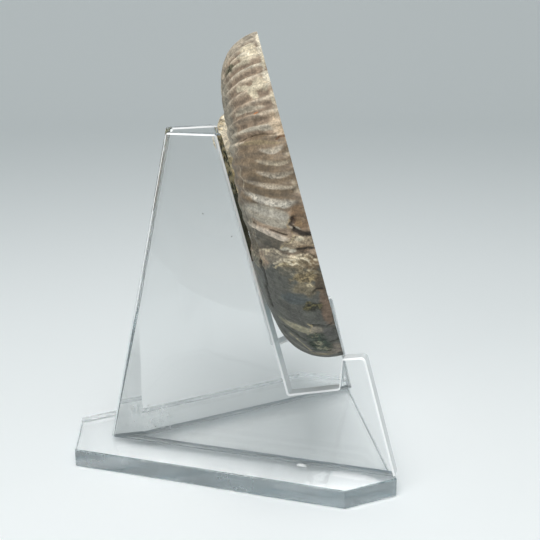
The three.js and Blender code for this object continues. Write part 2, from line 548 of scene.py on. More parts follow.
@dataclass(frozen=True)
class FossilSkin:
    """Weathered shell and sediment of the ammonite's natural side."""

    name: str = "fossil_skin"
    mottle_scale: float = 420.0
    mottle_range: Corner = (0.32, 0.68)
    mottle_tones: Corner = (0.72, 1.25)
    mottle_depth: float = 0.48 * MM
    speck_scale: float = 1700.0
    speck_range: Corner = (0.36, 0.66)
    speck_tones: Corner = (0.82, 1.22)
    speck_depth: float = 0.12 * MM
    crumb_scale: float = 900.0
    crumb_range: Corner = (0.38, 0.62)
    crumb_tones: Corner = (-0.62, 0.75)
    crumb_depth: float = 0.6 * MM
    matt: float = 0.80
    glossy: float = 0.34

    def material(self) -> bpy.types.Material:
        """Make the material.

        Returns:
            Painted tint with a fine mottle, crusty places and a fine grain.
        """
        bench = NodeBench(self.name)
        place = bench.place()
        tint = bench.attribute("tint", "Color")
        gloss = bench.attribute("gloss")
        crust = bench.attribute("crust")
        mottle = bench.grain(place, self.mottle_scale, detail=5.0, roughness=0.62, distortion=0.5)
        speck = bench.grain(place, self.speck_scale, detail=3.0, roughness=0.6)
        crumb = bench.grain(place, self.crumb_scale, detail=3.0, roughness=0.7, distortion=1.2)
        mottled = bench.shade(tint, bench.spread(mottle, *self.mottle_range, *self.mottle_tones))
        flecked = bench.shade(mottled, bench.spread(speck, *self.speck_range, *self.speck_tones))
        contrast = bench.sum("MULTIPLY", bench.spread(crumb, *self.crumb_range, *self.crumb_tones), crust)
        crusted = bench.shade(flecked, bench.sum("ADD", contrast, 1.0))
        rough = bench.spread(gloss, 0.0, 1.0, self.matt, self.glossy)
        coarse = bench.relief(mottle, self.mottle_depth, 0.9)
        lumpy = bench.relief(bench.sum("MULTIPLY", crumb, crust), self.crumb_depth, 1.0, coarse)
        normal = bench.relief(speck, self.speck_depth, 0.7, lumpy)
        bench.surface(Base_Color=crusted, Roughness=rough, Normal=normal)
        return bench.material


@dataclass(frozen=True)
class SawnFace:
    """Polished section through the coil, with chamber walls and mineral filling."""

    name: str = "sawn_face"
    wall: Colour = (0.66, 0.54, 0.38)
    calcite: Colour = (0.26, 0.13, 0.055)
    pale_calcite: Colour = (0.62, 0.46, 0.27)
    mud: Colour = (0.085, 0.072, 0.058)
    body_mud: Colour = (0.15, 0.125, 0.098)
    roughness: float = 0.22
    septa_per_whorl: float = 19.0
    septum_bow: float = 1.6
    septum_waver: float = 0.3
    septum_edge: Corner = (0.43, 0.47)
    whorl_wall: Corner = (0.02, 0.04)
    chambers_end: Corner = (0.12, 0.124)
    waver_scale: float = 60.0
    grain_scale: float = 300.0
    filling_range: Corner = (0.35, 0.68)
    mud_range: Corner = (0.50, 0.58)
    body_range: Corner = (0.3, 0.7)
    inner_turns: float = 20.0

    def material(self, shell: "AmmoniteShape") -> bpy.types.Material:
        """Make the material.

        Args:
            shell: The shape whose spiral the pattern follows.

        Returns:
            Polished stone with whorl walls, septa and filled chambers.
        """
        bench = NodeBench(self.name)
        place = bench.place()
        axes = shell.axes()
        from_centre = bench.add("VectorMath", operation="SUBTRACT")
        bench.feed(from_centre.inputs[0], place)
        from_centre.inputs[1].default_value = shell.centre
        along = []
        for axis in (axes.col[0], axes.col[1]):
            dot = bench.add("VectorMath", operation="DOT_PRODUCT")
            bench.feed(dot.inputs[0], from_centre.outputs[0])
            dot.inputs[1].default_value = axis
            along.append(dot.outputs["Value"])
        waver = bench.grain(place, self.waver_scale, detail=2.0)
        grain = bench.grain(place, self.grain_scale, detail=5.0, roughness=0.6, distortion=0.8)
        swing = bench.sum("ARCTAN2", bench.sum("MULTIPLY", along[0], -1.0), along[1])
        turn = bench.sum("FRACT", bench.sum("ADD", bench.sum("DIVIDE", swing, 2 * math.pi), 1.0))
        squares = bench.sum("ADD", bench.sum("POWER", along[0], 2.0), bench.sum("POWER", along[1], 2.0))
        distance = bench.sum("DIVIDE", bench.sum("SQRT", squares), shell.radius_at_top)
        coil = bench.sum("SUBTRACT", bench.sum("LOGARITHM", distance, shell.radius_growth), turn)
        across = bench.sum("FRACT", bench.sum("ADD", coil, self.inner_turns))
        whorl = bench.sum("ADD", bench.sum("CEIL", coil), turn)
        squared = bench.sum("POWER", bench.sum("SUBTRACT", across, 0.5), 2.0)
        bow = bench.sum("MULTIPLY", squared, self.septum_bow)
        bend = bench.sum("ADD", bow, bench.sum("MULTIPLY", waver, self.septum_waver))
        phase = bench.sum("FRACT", bench.sum("ADD", bench.sum("MULTIPLY", turn, self.septa_per_whorl), bend))
        septum = bench.sum("ABSOLUTE", bench.sum("SUBTRACT", phase, 0.5))
        filled = bench.mix(bench.spread(grain, *self.filling_range), self.calcite, self.pale_calcite)
        muddy = bench.mix(bench.spread(waver, *self.mud_range), filled, self.mud)
        ringed = bench.mix(bench.spread(septum, *self.septum_edge), muddy, self.wall)
        body = bench.mix(bench.spread(grain, *self.body_range), self.mud, self.body_mud)
        chambered = bench.mix(bench.spread(whorl, *self.chambers_end), ringed, body)
        edge = bench.sum("MINIMUM", across, bench.sum("SUBTRACT", 1.0, across))
        walled = bench.mix(bench.spread(edge, *self.whorl_wall, 1.0, 0.0), chambered, self.wall)
        bench.surface(Base_Color=walled, Roughness=self.roughness)
        return bench.material


# Ammonite

# Light gains make up for the tone of the studio's light
LIGHT_GAINS: Colour = (1.01, 0.97, 0.93)
DISPLAY_GAMMA = 2.2
LIGHTEST = 0.88

BROWN: Shown = (122, 107, 88)
MAUVE: Shown = (146, 130, 113)
CREAM: Shown = (200, 191, 169)
CHALK: Shown = (192, 185, 168)
WHITE: Shown = (222, 215, 196)
SLATE: Shown = (73, 76, 72)
DARK: Shown = (48, 44, 38)
OLIVE: Shown = (100, 98, 80)
GOLD: Shown = (196, 176, 130)
# Rib crests: pale partly from wear, partly as painted highlight; grooves: painted shade
CREST_WEAR_AND_HIGHLIGHT: Shown = (198, 188, 170)
GROOVE_SHADE: Shown = (110, 96, 82)
# Darker colour along the spiral seam between the whorls
SEAM_DARK: Shown = (66, 58, 47)
GREEN_CRUST: Shown = (84, 90, 56)
BROWN_STRIPE: Shown = (126, 92, 50)

# Share of the way to the rim from which the outer side is painted
OUTER_SIDE_FROM = 0.37
# Part of a fading patch, in half angles, over which it grows to its full strength
FADED_PART: Corner = (-1.0, 0.5)


def skin_colour(shown: Shown) -> Colour:
    """Skin colour that shows as the given display colour under the studio's light.

    Args:
        shown: Red, green and blue display values from 0 to 255.

    Returns:
        The linear base colour.
    """
    lit = [gain * (value / 255) ** DISPLAY_GAMMA for gain, value in zip(LIGHT_GAINS, shown)]
    return min(lit[0], LIGHTEST), min(lit[1], LIGHTEST), min(lit[2], LIGHTEST)


@dataclass(frozen=True)
class Patch:
    """One stained, chalky, raised or sunken place on the shell's outer side, or a painted shade in a hollow.

    Its place is an angle around the coil in degrees and a height above the saw cut in
    millimetres.
    """

    angle: float
    height: float
    half_angle: float
    half_height: float
    colour: Shown
    strength: float = 0.9
    slant: float = 0.0
    sag: float = 0.0
    sink: float = 0.0
    gloss: float = 0.25
    crust: float = 0.0
    ragged: float = 0.5
    softness: float = 0.25
    fade: float = 0.0

    def weight(self, angle: Array, height: Array, rough: Array) -> Array:
        """How strongly the patch covers each place.

        Args:
            angle: Angles in degrees.
            height: Heights in millimetres.
            rough: Noise that frays the patch's border.

        Returns:
            Weights between 0 and 1.
        """
        across = (height - self.height) / self.half_height
        bow = self.sag * (1 - across ** 2)
        along = (angle - self.angle - self.slant * (height - self.height) - bow) / self.half_angle
        distance = np.sqrt(along ** 2 + across ** 2) + self.ragged * rough
        lit = 1 - self.fade * (1 - soft_step(*FADED_PART, along))
        return (1 - soft_step(1 - self.softness, 1 + self.softness, distance)) * self.strength * lit


@dataclass(frozen=True)
class Crack:
    """A crooked line on the shell: an open crack, the raised edge of a broken layer, or a line of painted
    shade.
    """

    course: tuple[Corner, ...]
    width: float
    colour: Shown
    depth: float = 0.3
    waver: float = 0.5
    strength: float = 0.9


@dataclass
class AmmoniteShape:
    """The coil's form, the same as in the CAD model but with finer ribs."""

    centre: Point = (23.84 * MM, -8.14 * MM, 94.41 * MM)
    lean: float = math.radians(15.3)
    turn: float = math.radians(-5.46)
    radius_at_top: float = 48.25 * MM
    radius_growth: float = 1.5
    height_at_top: float = 15.1 * MM
    height_growth: float = 1.58
    end_angle: float = 294.0
    swell: float = 0.097
    swell_rise: Corner = (165.0, 215.0)
    bulge: float = 0.065
    bulge_rise: Corner = (45.0, 90.0)
    bulge_fall: Corner = (122.0, 152.0)
    end_bulge: float = 0.085
    end_bulge_rise: Corner = (258.0, 288.0)
    umbilicus_ratio: float = 0.45
    crest_at: float = 0.35
    rim_roundness: float = 2.25
    seam_height: float = 0.62
    whorls: int = 5
    rib_spacing: float = 5.0
    rib_start: float = 38.0
    crowding: float = 1.4
    crowding_rise: Corner = (56.0, 86.0)
    rib_depth: float = 0.021
    forward_sweep: float = 7.5
    sweep_start: float = 0.45
    fork_rise: Corner = (0.5, 0.72)
    fork_sharpness: float = 1.3
    umbilical_fade: float = 0.22
    slope_step: float = 0.01
    rim_from: float = 0.999

    @property
    def covered_at(self) -> float:
        """Share of a whorl's width at which the next whorl covers it."""
        ratio = self.umbilicus_ratio
        return ratio * (self.radius_growth - 1) / (1 - ratio)

    def axes(self) -> Matrix:
        """Turn from the coil's own axes to the frame's.

        Returns:
            Matrix whose columns run across the sawn face, up it and out of it.
        """
        lean, turn = self.lean, self.turn
        front = Vector((math.cos(lean) * math.cos(turn), math.cos(lean) * math.sin(turn), math.sin(lean)))
        up = Vector((-math.sin(lean) * math.cos(turn), -math.sin(lean) * math.sin(turn), math.cos(lean)))
        across = up.cross(front)
        return Matrix((across, up, front)).transposed()

    def rim(self, angle: Array) -> Array:
        """Radius of the outer edge.

        Args:
            angle: Angles from the top, in degrees.

        Returns:
            Radii in metres.
        """
        return self.radius_at_top * self.radius_growth ** (angle / 360)

    def crest(self, angle: Array) -> Array:
        """Height of the flank above the saw cut.

        Args:
            angle: Angles from the top, in degrees.

        Returns:
            Heights in metres.
        """
        bulging = soft_step(*self.bulge_rise, angle) * (1 - soft_step(*self.bulge_fall, angle))
        swelling = 1 + self.swell * soft_step(*self.swell_rise, angle) + self.bulge * bulging
        swelling = swelling + self.end_bulge * soft_step(*self.end_bulge_rise, angle)
        return self.height_at_top * self.height_growth ** (angle / 360) * swelling

    def section(self, share: Array) -> Array:
        """Outline of the half whorl.

        Args:
            share: Shares of the way from the umbilicus to the rim.

        Returns:
            Heights as shares of the flank's height.
        """
        outward = np.clip((share - self.crest_at) / (1 - self.crest_at), 0, 1)
        inward = np.clip((self.crest_at - share) / self.crest_at, 0, 1)
        outer = np.clip(1 - outward ** self.rim_roundness, 0, 1) ** (1 / self.rim_roundness)
        inner = self.seam_height + (1 - self.seam_height) * np.sqrt(1 - inward ** 3)
        return np.where(share >= self.crest_at, outer, inner)

    def share_at(self, angle: Array, height: Array) -> Array:
        """Share of the way to the rim at which the outer side has a height.

        Args:
            angle: Angles in degrees.
            height: Heights above the saw cut, in metres.

        Returns:
            Shares between the crest and the rim.
        """
        level = np.clip(height / self.crest(angle), 0, 1)
        outward = (1 - level ** self.rim_roundness) ** (1 / self.rim_roundness)
        return self.crest_at + (1 - self.crest_at) * outward

    def ribbing(self, angle: Array, share: Array) -> Array:
        """Height of the ribs between 0 in a groove and 1 on a crest.

        Args:
            angle: Angles in degrees.
            share: Shares of the way to the rim.

        Returns:
            Rib heights.
        """
        sweep = self.forward_sweep * (1 - np.clip((share - self.sweep_start) / (1 - self.sweep_start), 0, 1))
        place = angle + sweep
        crowded = self.crowding * soft_step(*self.crowding_rise, place)
        count = (place - self.rib_start) / self.rib_spacing + crowded
        phase = count * 2 * math.pi
        fork = soft_step(*self.fork_rise, share)
        single, paired = 0.5 + 0.5 * np.cos(phase / 2), 0.5 + 0.5 * np.cos(phase)
        return single * (1 - fork) + paired ** self.fork_sharpness * fork

    def envelope(self, angle: Array, share: Array) -> Array:
        """Smooth form without its ribs.

        Args:
            angle: Angles in degrees.
            share: Shares of the way to the rim.

        Returns:
            Radius and height of each point, stacked in the last axis.
        """
        rim = self.rim(angle)
        radius = rim * (self.umbilicus_ratio + share * (1 - self.umbilicus_ratio))
        return np.stack([radius, self.crest(angle) * self.section(share)], axis=-1)

    def outward(self, angle: Array, share: Array) -> Array:
        """Direction out of the envelope within its section.

        Args:
            angle: Angles in degrees.
            share: Shares of the way to the rim.

        Returns:
            Unit directions as radius and height.
        """
        beyond = self.envelope(angle, np.clip(share + self.slope_step, 0, 1))
        before = self.envelope(angle, np.clip(share - self.slope_step, 0, 1))
        along = beyond - before
        out = np.stack([-along[..., 1], along[..., 0]], axis=-1)
        out[share > self.rim_from] = (1.0, 0.0)
        return out / np.linalg.norm(out, axis=-1, keepdims=True)

    def to_frame(self, angle: Array, radius: Array, height: Array) -> Array:
        """Points of the frame from places on the coil.

        Args:
            angle: Angles in degrees.
            radius: Distances from the coil's centre.
            height: Heights above the saw cut.

        Returns:
            Coordinates in metres, one row per point.
        """
        turn = np.radians(angle)
        own = np.stack([-radius * np.sin(turn), radius * np.cos(turn), -height], axis=-1)
        return own @ np.array(self.axes()).T + np.array(self.centre)

    def on_skin(self, course: tuple[Corner, ...]) -> Array:
        """Points of the smooth skin along a course.

        Args:
            course: Angles in degrees with heights in millimetres.

        Returns:
            Coordinates in metres, one row per point.
        """
        angle, height = np.array(course, float).T
        place = self.envelope(angle, self.share_at(angle, height * MM))
        return self.to_frame(angle, place[:, 0], place[:, 1])


def soft_step(low: float, high: float, value: Array) -> Array:
    """Smooth rise from 0 to 1.

    Args:
        low: Where it starts.
        high: Where it ends.
        value: Values to map.

    Returns:
        The eased values.
    """
    share = np.clip((value - low) / (high - low), 0, 1)
    return share * share * (3 - 2 * share)


def bell(value: Array, middle: float, width: float) -> Array:
    """Soft peak of height 1.

    Args:
        value: Values to map.
        middle: Where the peak lies.
        width: How far from there it has mostly faded.

    Returns:
        Values from 0 to 1.
    """
    return np.exp(-(((value - middle) / width) ** 2))


@dataclass(frozen=True)
class Cloud:
    """Cloudy noise in space, with its features per metre, finer octaves and shift."""

    scale: float
    octaves: int
    offset: float = 0.0
    dimension: float = 0.9
    refinement: float = 2.1

    def at(self, points: Array) -> Array:
        """Noise at points in space.

        Args:
            points: Coordinates in metres, one row per point.

        Returns:
            Values around 0.
        """
        shifted = (points * self.scale + self.offset).tolist()
        return np.array([self.level(Vector(point)) for point in shifted])

    def level(self, place: Vector) -> float:
        """Noise at one place of the pattern itself.

        Args:
            place: Coordinates in features.

        Returns:
            A value around 0.
        """
        return noise.fractal(place, self.dimension, self.refinement, self.octaves)


def line_distance(points: Array, course: Array) -> Array:
    """Distance from points to a line of straight pieces.

    Args:
        points: Coordinates, one row per point.
        course: Corners of the line, one row per corner.

    Returns:
        Smallest distances.
    """
    nearest = np.full(len(points), np.inf)
    for start, end in zip(course[:-1], course[1:]):
        along = end - start
        share = np.clip((points - start) @ along / (along @ along), 0, 1)
        gap = np.linalg.norm(points - start - share[:, None] * along, axis=1)
        nearest = np.minimum(nearest, gap)
    return nearest


TOP_PATCHES: tuple[Patch, ...] = (
    Patch(6, 6, 16, 8, (164, 156, 142), 0.8, ragged=0.8),
    Patch(30.5, 3.8, 3.0, 3.2, CREAM, slant=-0.3, ragged=0.9, sink=-0.2, crust=0.12),
    Patch(24, 4.2, 1.6, 2.8, CREAM, slant=-0.4, ragged=0.9, sink=-0.15, crust=0.12),
    Patch(31.5, 8.2, 1.1, 4.4, CREAM, slant=-0.65, ragged=0.7, sink=-0.1, crust=0.12),
    Patch(27.0, 7.2, 0.7, 4.6, CHALK, slant=-0.7, ragged=0.7, crust=0.3),
    Patch(36.5, 7.0, 0.8, 5.4, CHALK, slant=-0.35, ragged=0.7, crust=0.2),
    Patch(28, 11.4, 3.2, 1.8, OLIVE, slant=-0.6, ragged=0.7, sink=0.4, crust=0.9),
    Patch(46.2, 3.9, 2.6, 3.2, CREAM, slant=-0.3, ragged=1.0, sink=-0.25, crust=0.12),
    Patch(49.5, 5.6, 2.6, 1.2, CREAM, slant=-0.5, ragged=0.9, sink=-0.2, crust=0.12),
    Patch(44.8, 7.6, 1.2, 2.6, CREAM, slant=-0.5, ragged=0.9, sink=-0.15, crust=0.12),
    Patch(40.5, 8.5, 0.8, 4.4, CHALK, slant=-0.4, ragged=0.7, crust=0.2),
    Patch(53.5, 8.8, 0.8, 4.6, CHALK, 0.7, slant=-0.35, ragged=0.7),
    Patch(56.5, 6.2, 0.42, 0.7, (180, 112, 62), 0.9, ragged=0.3),
    Patch(57.6, 7.6, 0.9, 5.8, (118, 106, 92), 0.7, slant=-0.5, ragged=0.5),
    Patch(61.4, 7.4, 0.9, 6.6, (178, 172, 158), 0.85, slant=-0.42, ragged=0.6, crust=0.2),
    Patch(20, 0.2, 8.0, 0.7, WHITE, ragged=0.9, crust=0.3),
    Patch(30, 0.4, 4.0, 0.9, WHITE, ragged=1.1, crust=0.3),
    Patch(36, 0.3, 3.0, 0.6, CREAM, ragged=1.0, crust=0.3),
    Patch(45.0, 0.6, 3.6, 1.1, WHITE, ragged=1.0, crust=0.3),
    Patch(53, 0.5, 3.0, 0.6, CREAM, ragged=0.9),
    Patch(62.0, 1.6, 3.8, 1.5, (186, 170, 148), 0.85, ragged=0.5, crust=0.2),
    Patch(68.5, 0.9, 4.4, 1.3, (184, 164, 138), 0.85, ragged=0.5, crust=0.2),
    Patch(76, 0.3, 4.0, 0.7, (156, 132, 106), 0.8, ragged=0.6),
)

MIDDLE_PATCHES: tuple[Patch, ...] = (
    Patch(75.5, 9.0, 12.0, 11.2, BROWN, 0.95, ragged=0.1, softness=0.06, gloss=0.6),
    Patch(80.0, 7.0, 8.0, 9.0, (100, 87, 69), 0.8, ragged=0.3, softness=0.4, gloss=0.6),
    Patch(66.2, 7.6, 0.7, 5.2, (146, 132, 104), 0.7, slant=-0.42, ragged=0.4),
    Patch(
        69.2, 4.6, 0.95, 3.2, (186, 178, 164), 0.95,
        slant=-0.2, sag=1.0, sink=0.35, ragged=0.3, fade=0.6, crust=0.4,
    ),
    Patch(
        72.9, 5.0, 0.75, 4.4, (170, 160, 142), 0.9,
        slant=-0.36, sag=1.0, sink=0.25, ragged=0.4, fade=0.6, crust=0.4,
    ),
    Patch(
        76.3, 5.6, 0.95, 4.6, (168, 160, 146), 0.9,
        slant=-0.36, sag=1.2, sink=0.3, ragged=0.4, fade=0.6, crust=0.6,
    ),
    Patch(
        79.2, 7.2, 0.85, 6.6, (166, 157, 142), 0.9,
        slant=-0.45, sag=1.1, sink=0.25, ragged=0.4, fade=0.6, crust=0.5,
    ),
    Patch(
        83.0, 9.0, 1.35, 6.6, (188, 184, 174), 0.95,
        slant=-0.55, sag=1.5, sink=0.35, ragged=0.35, fade=0.5, crust=0.5,
    ),
    Patch(88.6, 10.2, 3.4, 6.6, (150, 145, 133), 0.95, slant=-0.5, ragged=0.15, softness=0.12, gloss=0.6),
    Patch(87.6, 10.4, 1.2, 5.0, (170, 167, 158), 0.6, slant=-0.5, ragged=0.3, gloss=0.6),
    Patch(
        97.0, 11.4, 3.0, 5.4, (86, 82, 72), 0.95,
        slant=-0.6, ragged=0.2, softness=0.12, gloss=0.55, sink=0.3,
    ),
    Patch(97.6, 14.4, 2.6, 2.6, (82, 80, 72), 0.85, slant=-0.6, ragged=0.3, gloss=0.55),
    Patch(94.7, 10.6, 1.35, 5.6, (188, 177, 163), 0.95, slant=-0.67, sink=-0.4, ragged=0.1, gloss=0.5),
    Patch(91.0, 1.8, 3.8, 2.6, (106, 86, 64), 0.9, sink=0.35, ragged=0.3, gloss=0.6),
    Patch(92.6, 2.6, 1.3, 1.2, (116, 97, 72), 0.8, ragged=0.4, gloss=0.5),
    # Painted shade in the hollow beside the lump
    Patch(91.6, 3.7, 1.3, 0.9, (62, 46, 32), 0.85, sink=0.4, ragged=0.5, gloss=0.5),
    Patch(93.9, 4.0, 0.5, 1.1, WHITE, 0.9, slant=-0.5, ragged=0.5, crust=0.4),
)

LOWER_PATCHES: tuple[Patch, ...] = (
    Patch(133, 8.0, 31.0, 16.0, SLATE, 0.96, ragged=0.1, softness=0.05, gloss=0.55),
    Patch(98.8, 3.8, 2.4, 5.4, (146, 134, 115), 0.9, ragged=0.3, softness=0.12, crust=0.6),
    Patch(97.5, 3.4, 0.7, 1.2, CREAM, 0.9, ragged=0.7, crust=0.5),
    Patch(99.9, 8.6, 0.6, 1.5, (190, 186, 172), 0.9, ragged=0.4),
    Patch(100.8, 6.5, 0.55, 1.1, (190, 186, 172), 0.9, ragged=0.4),
    Patch(100.6, 2.6, 1.2, 2.0, (112, 96, 78), 0.8, ragged=0.7, crust=0.4),
    Patch(102.3, 11.6, 2.0, 2.8, (126, 121, 109), 0.85, ragged=0.3),
    Patch(104.3, 5.0, 2.4, 5.0, (140, 127, 103), 0.85, ragged=0.5, crust=0.5),
    Patch(105.4, 1.6, 2.2, 2.0, (98, 83, 63), 0.8, ragged=0.4),
    Patch(107.0, 8.6, 1.6, 3.0, (92, 90, 80), 0.7, ragged=0.5),
    Patch(109.6, 5.0, 2.6, 3.8, (128, 115, 87), 0.85, ragged=0.8, crust=1.0),
    Patch(113.6, 5.9, 3.2, 3.4, (120, 112, 93), 0.85, ragged=0.5, crust=0.4),
    Patch(111.9, 4.0, 0.8, 1.0, (176, 166, 140), 0.75, ragged=1.3, crust=0.8),
    Patch(112.8, 1.3, 3.4, 1.4, (92, 80, 64), 0.8, ragged=0.7, crust=0.4),
    Patch(117.2, 9.0, 2.4, 3.6, (70, 78, 80), 0.8, ragged=0.4, gloss=0.6),
    Patch(122.8, 1.2, 7.6, 1.6, (117, 98, 82), 0.8, ragged=0.4),
    Patch(120.8, 5.1, 1.9, 2.8, (52, 52, 41), 0.92, sink=0.35, ragged=0.6, crust=1.0),
    Patch(120.6, 5.6, 1.2, 1.9, (108, 102, 70), 0.6, ragged=2.2, crust=1.0),
    Patch(131.5, 10.6, 2.1, 4.6, (136, 133, 113), 0.85, slant=-0.28, ragged=0.25, gloss=0.4),
    Patch(132.2, 5.8, 2.5, 2.0, (132, 126, 114), 0.85, ragged=0.3, crust=0.3),
    Patch(133.6, 2.5, 2.6, 1.7, (84, 84, 82), 0.85, ragged=0.25),
    Patch(147.6, 2.0, 6.0, 2.4, (113, 105, 95), 0.85, ragged=0.3, crust=0.3),
    Patch(152.5, 6.6, 2.6, 3.6, (132, 124, 104), 0.8, ragged=0.4, crust=0.4),
    Patch(142.2, 5.8, 7.6, 3.2, (46, 58, 48), 0.94, slant=-0.3, ragged=0.55, sink=0.3, crust=1.0),
    Patch(139.6, 6.2, 3.0, 1.2, (124, 124, 104), 0.65, slant=-0.6, ragged=2.4, crust=1.0),
    Patch(145.4, 5.0, 3.4, 1.3, (124, 124, 104), 0.65, slant=-0.6, ragged=2.4, crust=1.0),
)

SIDE_PATCHES: tuple[Patch, ...] = (
    Patch(38.0, 16.4, 34.0, 3.4, (146, 142, 130), 0.75, ragged=0.3),
    Patch(84.0, 18.6, 20.0, 3.9, (118, 116, 105), 0.85, ragged=0.3),
    Patch(106.0, 18.9, 14.0, 3.2, (90, 84, 70), 0.85, ragged=0.5, sink=0.2, crust=0.8),
    Patch(113.0, 17.6, 7.0, 1.4, (148, 147, 132), 0.85, ragged=0.4, crust=0.5),
    Patch(136.0, 18.4, 10.0, 2.4, (96, 96, 88), 0.8, ragged=0.3),
    Patch(213.0, 12.0, 46.0, 20.0, (62, 66, 55), 0.9, ragged=0.4, gloss=0.5),
)

PATCHES = TOP_PATCHES + SIDE_PATCHES + MIDDLE_PATCHES + LOWER_PATCHES

LEDGE: tuple[Corner, ...] = (
    (104.8, 0.0), (104.6, 0.9), (103.5, 1.4), (102.3, 2.3), (102.2, 5.0), (101.8, 8.8),
    (100.8, 10.2), (99.6, 11.3), (100.0, 13.7), (101.0, 15.8), (107.0, 17.1),
)

CRACKS: tuple[Crack, ...] = (
    # Painted shadow of the fold, above its pale band
    Crack(((90.2, 14.9), (93.6, 10.0), (95.5, 6.7)), 0.24, (78, 66, 54), depth=0.3, waver=0.1),
    Crack(
        ((91.3, 5.0), (92.8, 5.7), (94.5, 5.6), (95.3, 4.8)),
        0.24, (172, 152, 120), depth=-0.15, waver=0.5,
    ),
    # Dark arc: painted shade along the hollow's edge
    Crack(((91.2, 3.4), (91.8, 4.3), (92.8, 4.8), (94.0, 4.4)), 0.5, (56, 42, 29), depth=0.5, waver=0.7),
    Crack(((94.5, 4.4), (95.6, 3.2), (96.5, 1.9), (97.1, 0.0)), 0.72, (34, 30, 25), depth=0.8, waver=0.4),
    Crack(((99.4, 9.6), (98.5, 8.3), (97.5, 5.8), (96.0, 4.7)), 0.26, (190, 176, 146), depth=-0.3, waver=0.5),
    Crack(((100.2, 5.3), (101.0, 2.3), (101.9, 0.4)), 0.4, DARK, depth=0.5, waver=0.7),
    Crack(
        ((104.0, 11.9), (102.6, 9.4), (103.2, 7.9), (104.5, 7.2), (104.2, 5.6), (105.5, 4.4)),
        0.26, CREAM, depth=-0.3, waver=0.7,
    ),
    Crack(
        ((102.2, 8.8), (103.0, 6.7), (102.9, 4.4), (103.6, 3.4), (104.3, 2.5), (106.4, 1.6)),
        0.26, CREAM, depth=-0.3, waver=0.7,
    ),
    Crack(
        ((105.2, 12.4), (105.6, 11.8), (104.0, 10.1), (103.9, 7.9)),
        0.26, (178, 168, 138), depth=-0.25, waver=0.6,
    ),
    Crack(((101.4, 14.0), (100.4, 13.4), (99.9, 11.9)), 0.26, (176, 166, 144), depth=-0.2, waver=0.4),
    Crack(((103.4, 15.4), (104.2, 15.0), (106.2, 15.7)), 0.3, (150, 140, 118), depth=-0.2, waver=0.4),
    Crack(((104.2, 16.0), (106.0, 16.2), (107.8, 16.3)), 0.8, (36, 33, 28), depth=0.6, waver=0.5),
    Crack(((107.8, 15.5), (110.8, 15.6), (114.8, 16.0)), 0.55, (36, 33, 28), depth=0.5, waver=0.5),
    Crack(
        ((116.6, 16.4), (119.2, 16.4), (122.0, 16.3), (125.6, 16.5)),
        0.7, (36, 33, 28), depth=0.6, waver=0.5,
    ),
    Crack(
        ((84.0, 15.8), (90.0, 16.6), (97.0, 17.2), (103.5, 18.0)),
        0.26, DARK, depth=0.3, waver=0.8, strength=0.8,
    ),
    Crack(
        ((70.0, 16.2), (80.0, 16.9), (90.0, 17.6), (99.0, 18.2)),
        0.24, (70, 68, 60), depth=0.2, waver=0.8, strength=0.7,
    ),
    Crack(((115.0, 3.7), (114.0, 2.8), (114.3, 1.0)), 0.3, DARK, depth=0.4, waver=0.3),
    Crack(((129.3, 6.5), (129.5, 4.2), (130.4, 2.0), (129.6, 0.8)), 0.3, (38, 36, 31), depth=0.4, waver=0.4),
    Crack(
        ((128.8, 7.4), (129.8, 6.7), (132.5, 7.6), (134.8, 8.3), (136.5, 7.5)),
        0.24, (160, 148, 118), depth=-0.2, waver=0.5,
    ),
    Crack(
        ((135.2, 14.8), (136.5, 12.0), (140.5, 9.1), (142.6, 7.6)),
        0.75, (46, 52, 44), depth=0.5, waver=0.6,
    ),
    Crack(((140.4, 2.9), (139.6, 1.4), (139.2, 0.2)), 0.4, (38, 36, 31), depth=0.5, waver=0.3),
    Crack(
        ((138.4, 13.6), (139.8, 12.1), (145.8, 10.0), (149.8, 9.0)),
        0.36, (150, 141, 116), depth=-0.15, waver=0.4,
    ),
    Crack(
        ((143.5, 17.6), (147.2, 15.8), (148.8, 11.3), (151.4, 8.0)),
        0.9, (106, 105, 100), depth=-0.1, waver=0.3,
    ),
    Crack(
        ((139.0, 17.0), (143.8, 14.2), (147.0, 11.2), (150.2, 8.6)),
        0.3, (56, 56, 52), depth=0.2, waver=0.3,
    ),
    Crack(
        ((145.5, 18.0), (149.6, 15.8), (151.4, 11.6), (153.6, 8.0)),
        0.26, (58, 58, 54), depth=0.2, waver=0.3,
    ),
    Crack(
        ((16.0, 10.6), (30.5, 11.9), (48.8, 12.6), (64.0, 14.0), (77.0, 14.5), (90.8, 15.1), (96.0, 16.0)),
        0.2, (164, 158, 143), depth=-0.15, waver=0.4, strength=0.7,
    ),
    Crack(((66.8, 0.0), (66.6, 1.4), (67.2, 2.4)), 0.24, (112, 78, 50), depth=0.35, waver=0.2),
    Crack(((62.6, 12.6), (63.2, 9.0), (64.0, 5.8), (65.4, 2.2)), 0.24, (92, 80, 62), depth=0.35, waver=0.35),
)


@dataclass(frozen=True)
class Layer:
    """One outer layer of shell, broken off along a jagged ledge."""

    offset: float
    waver: float
    thickness: float
    # Strength of the painted highlight and painted shadow along the layer's lip
    lip_light_and_shade: float
    rough_share: float = 1.0
    fray_share: float = 0.5


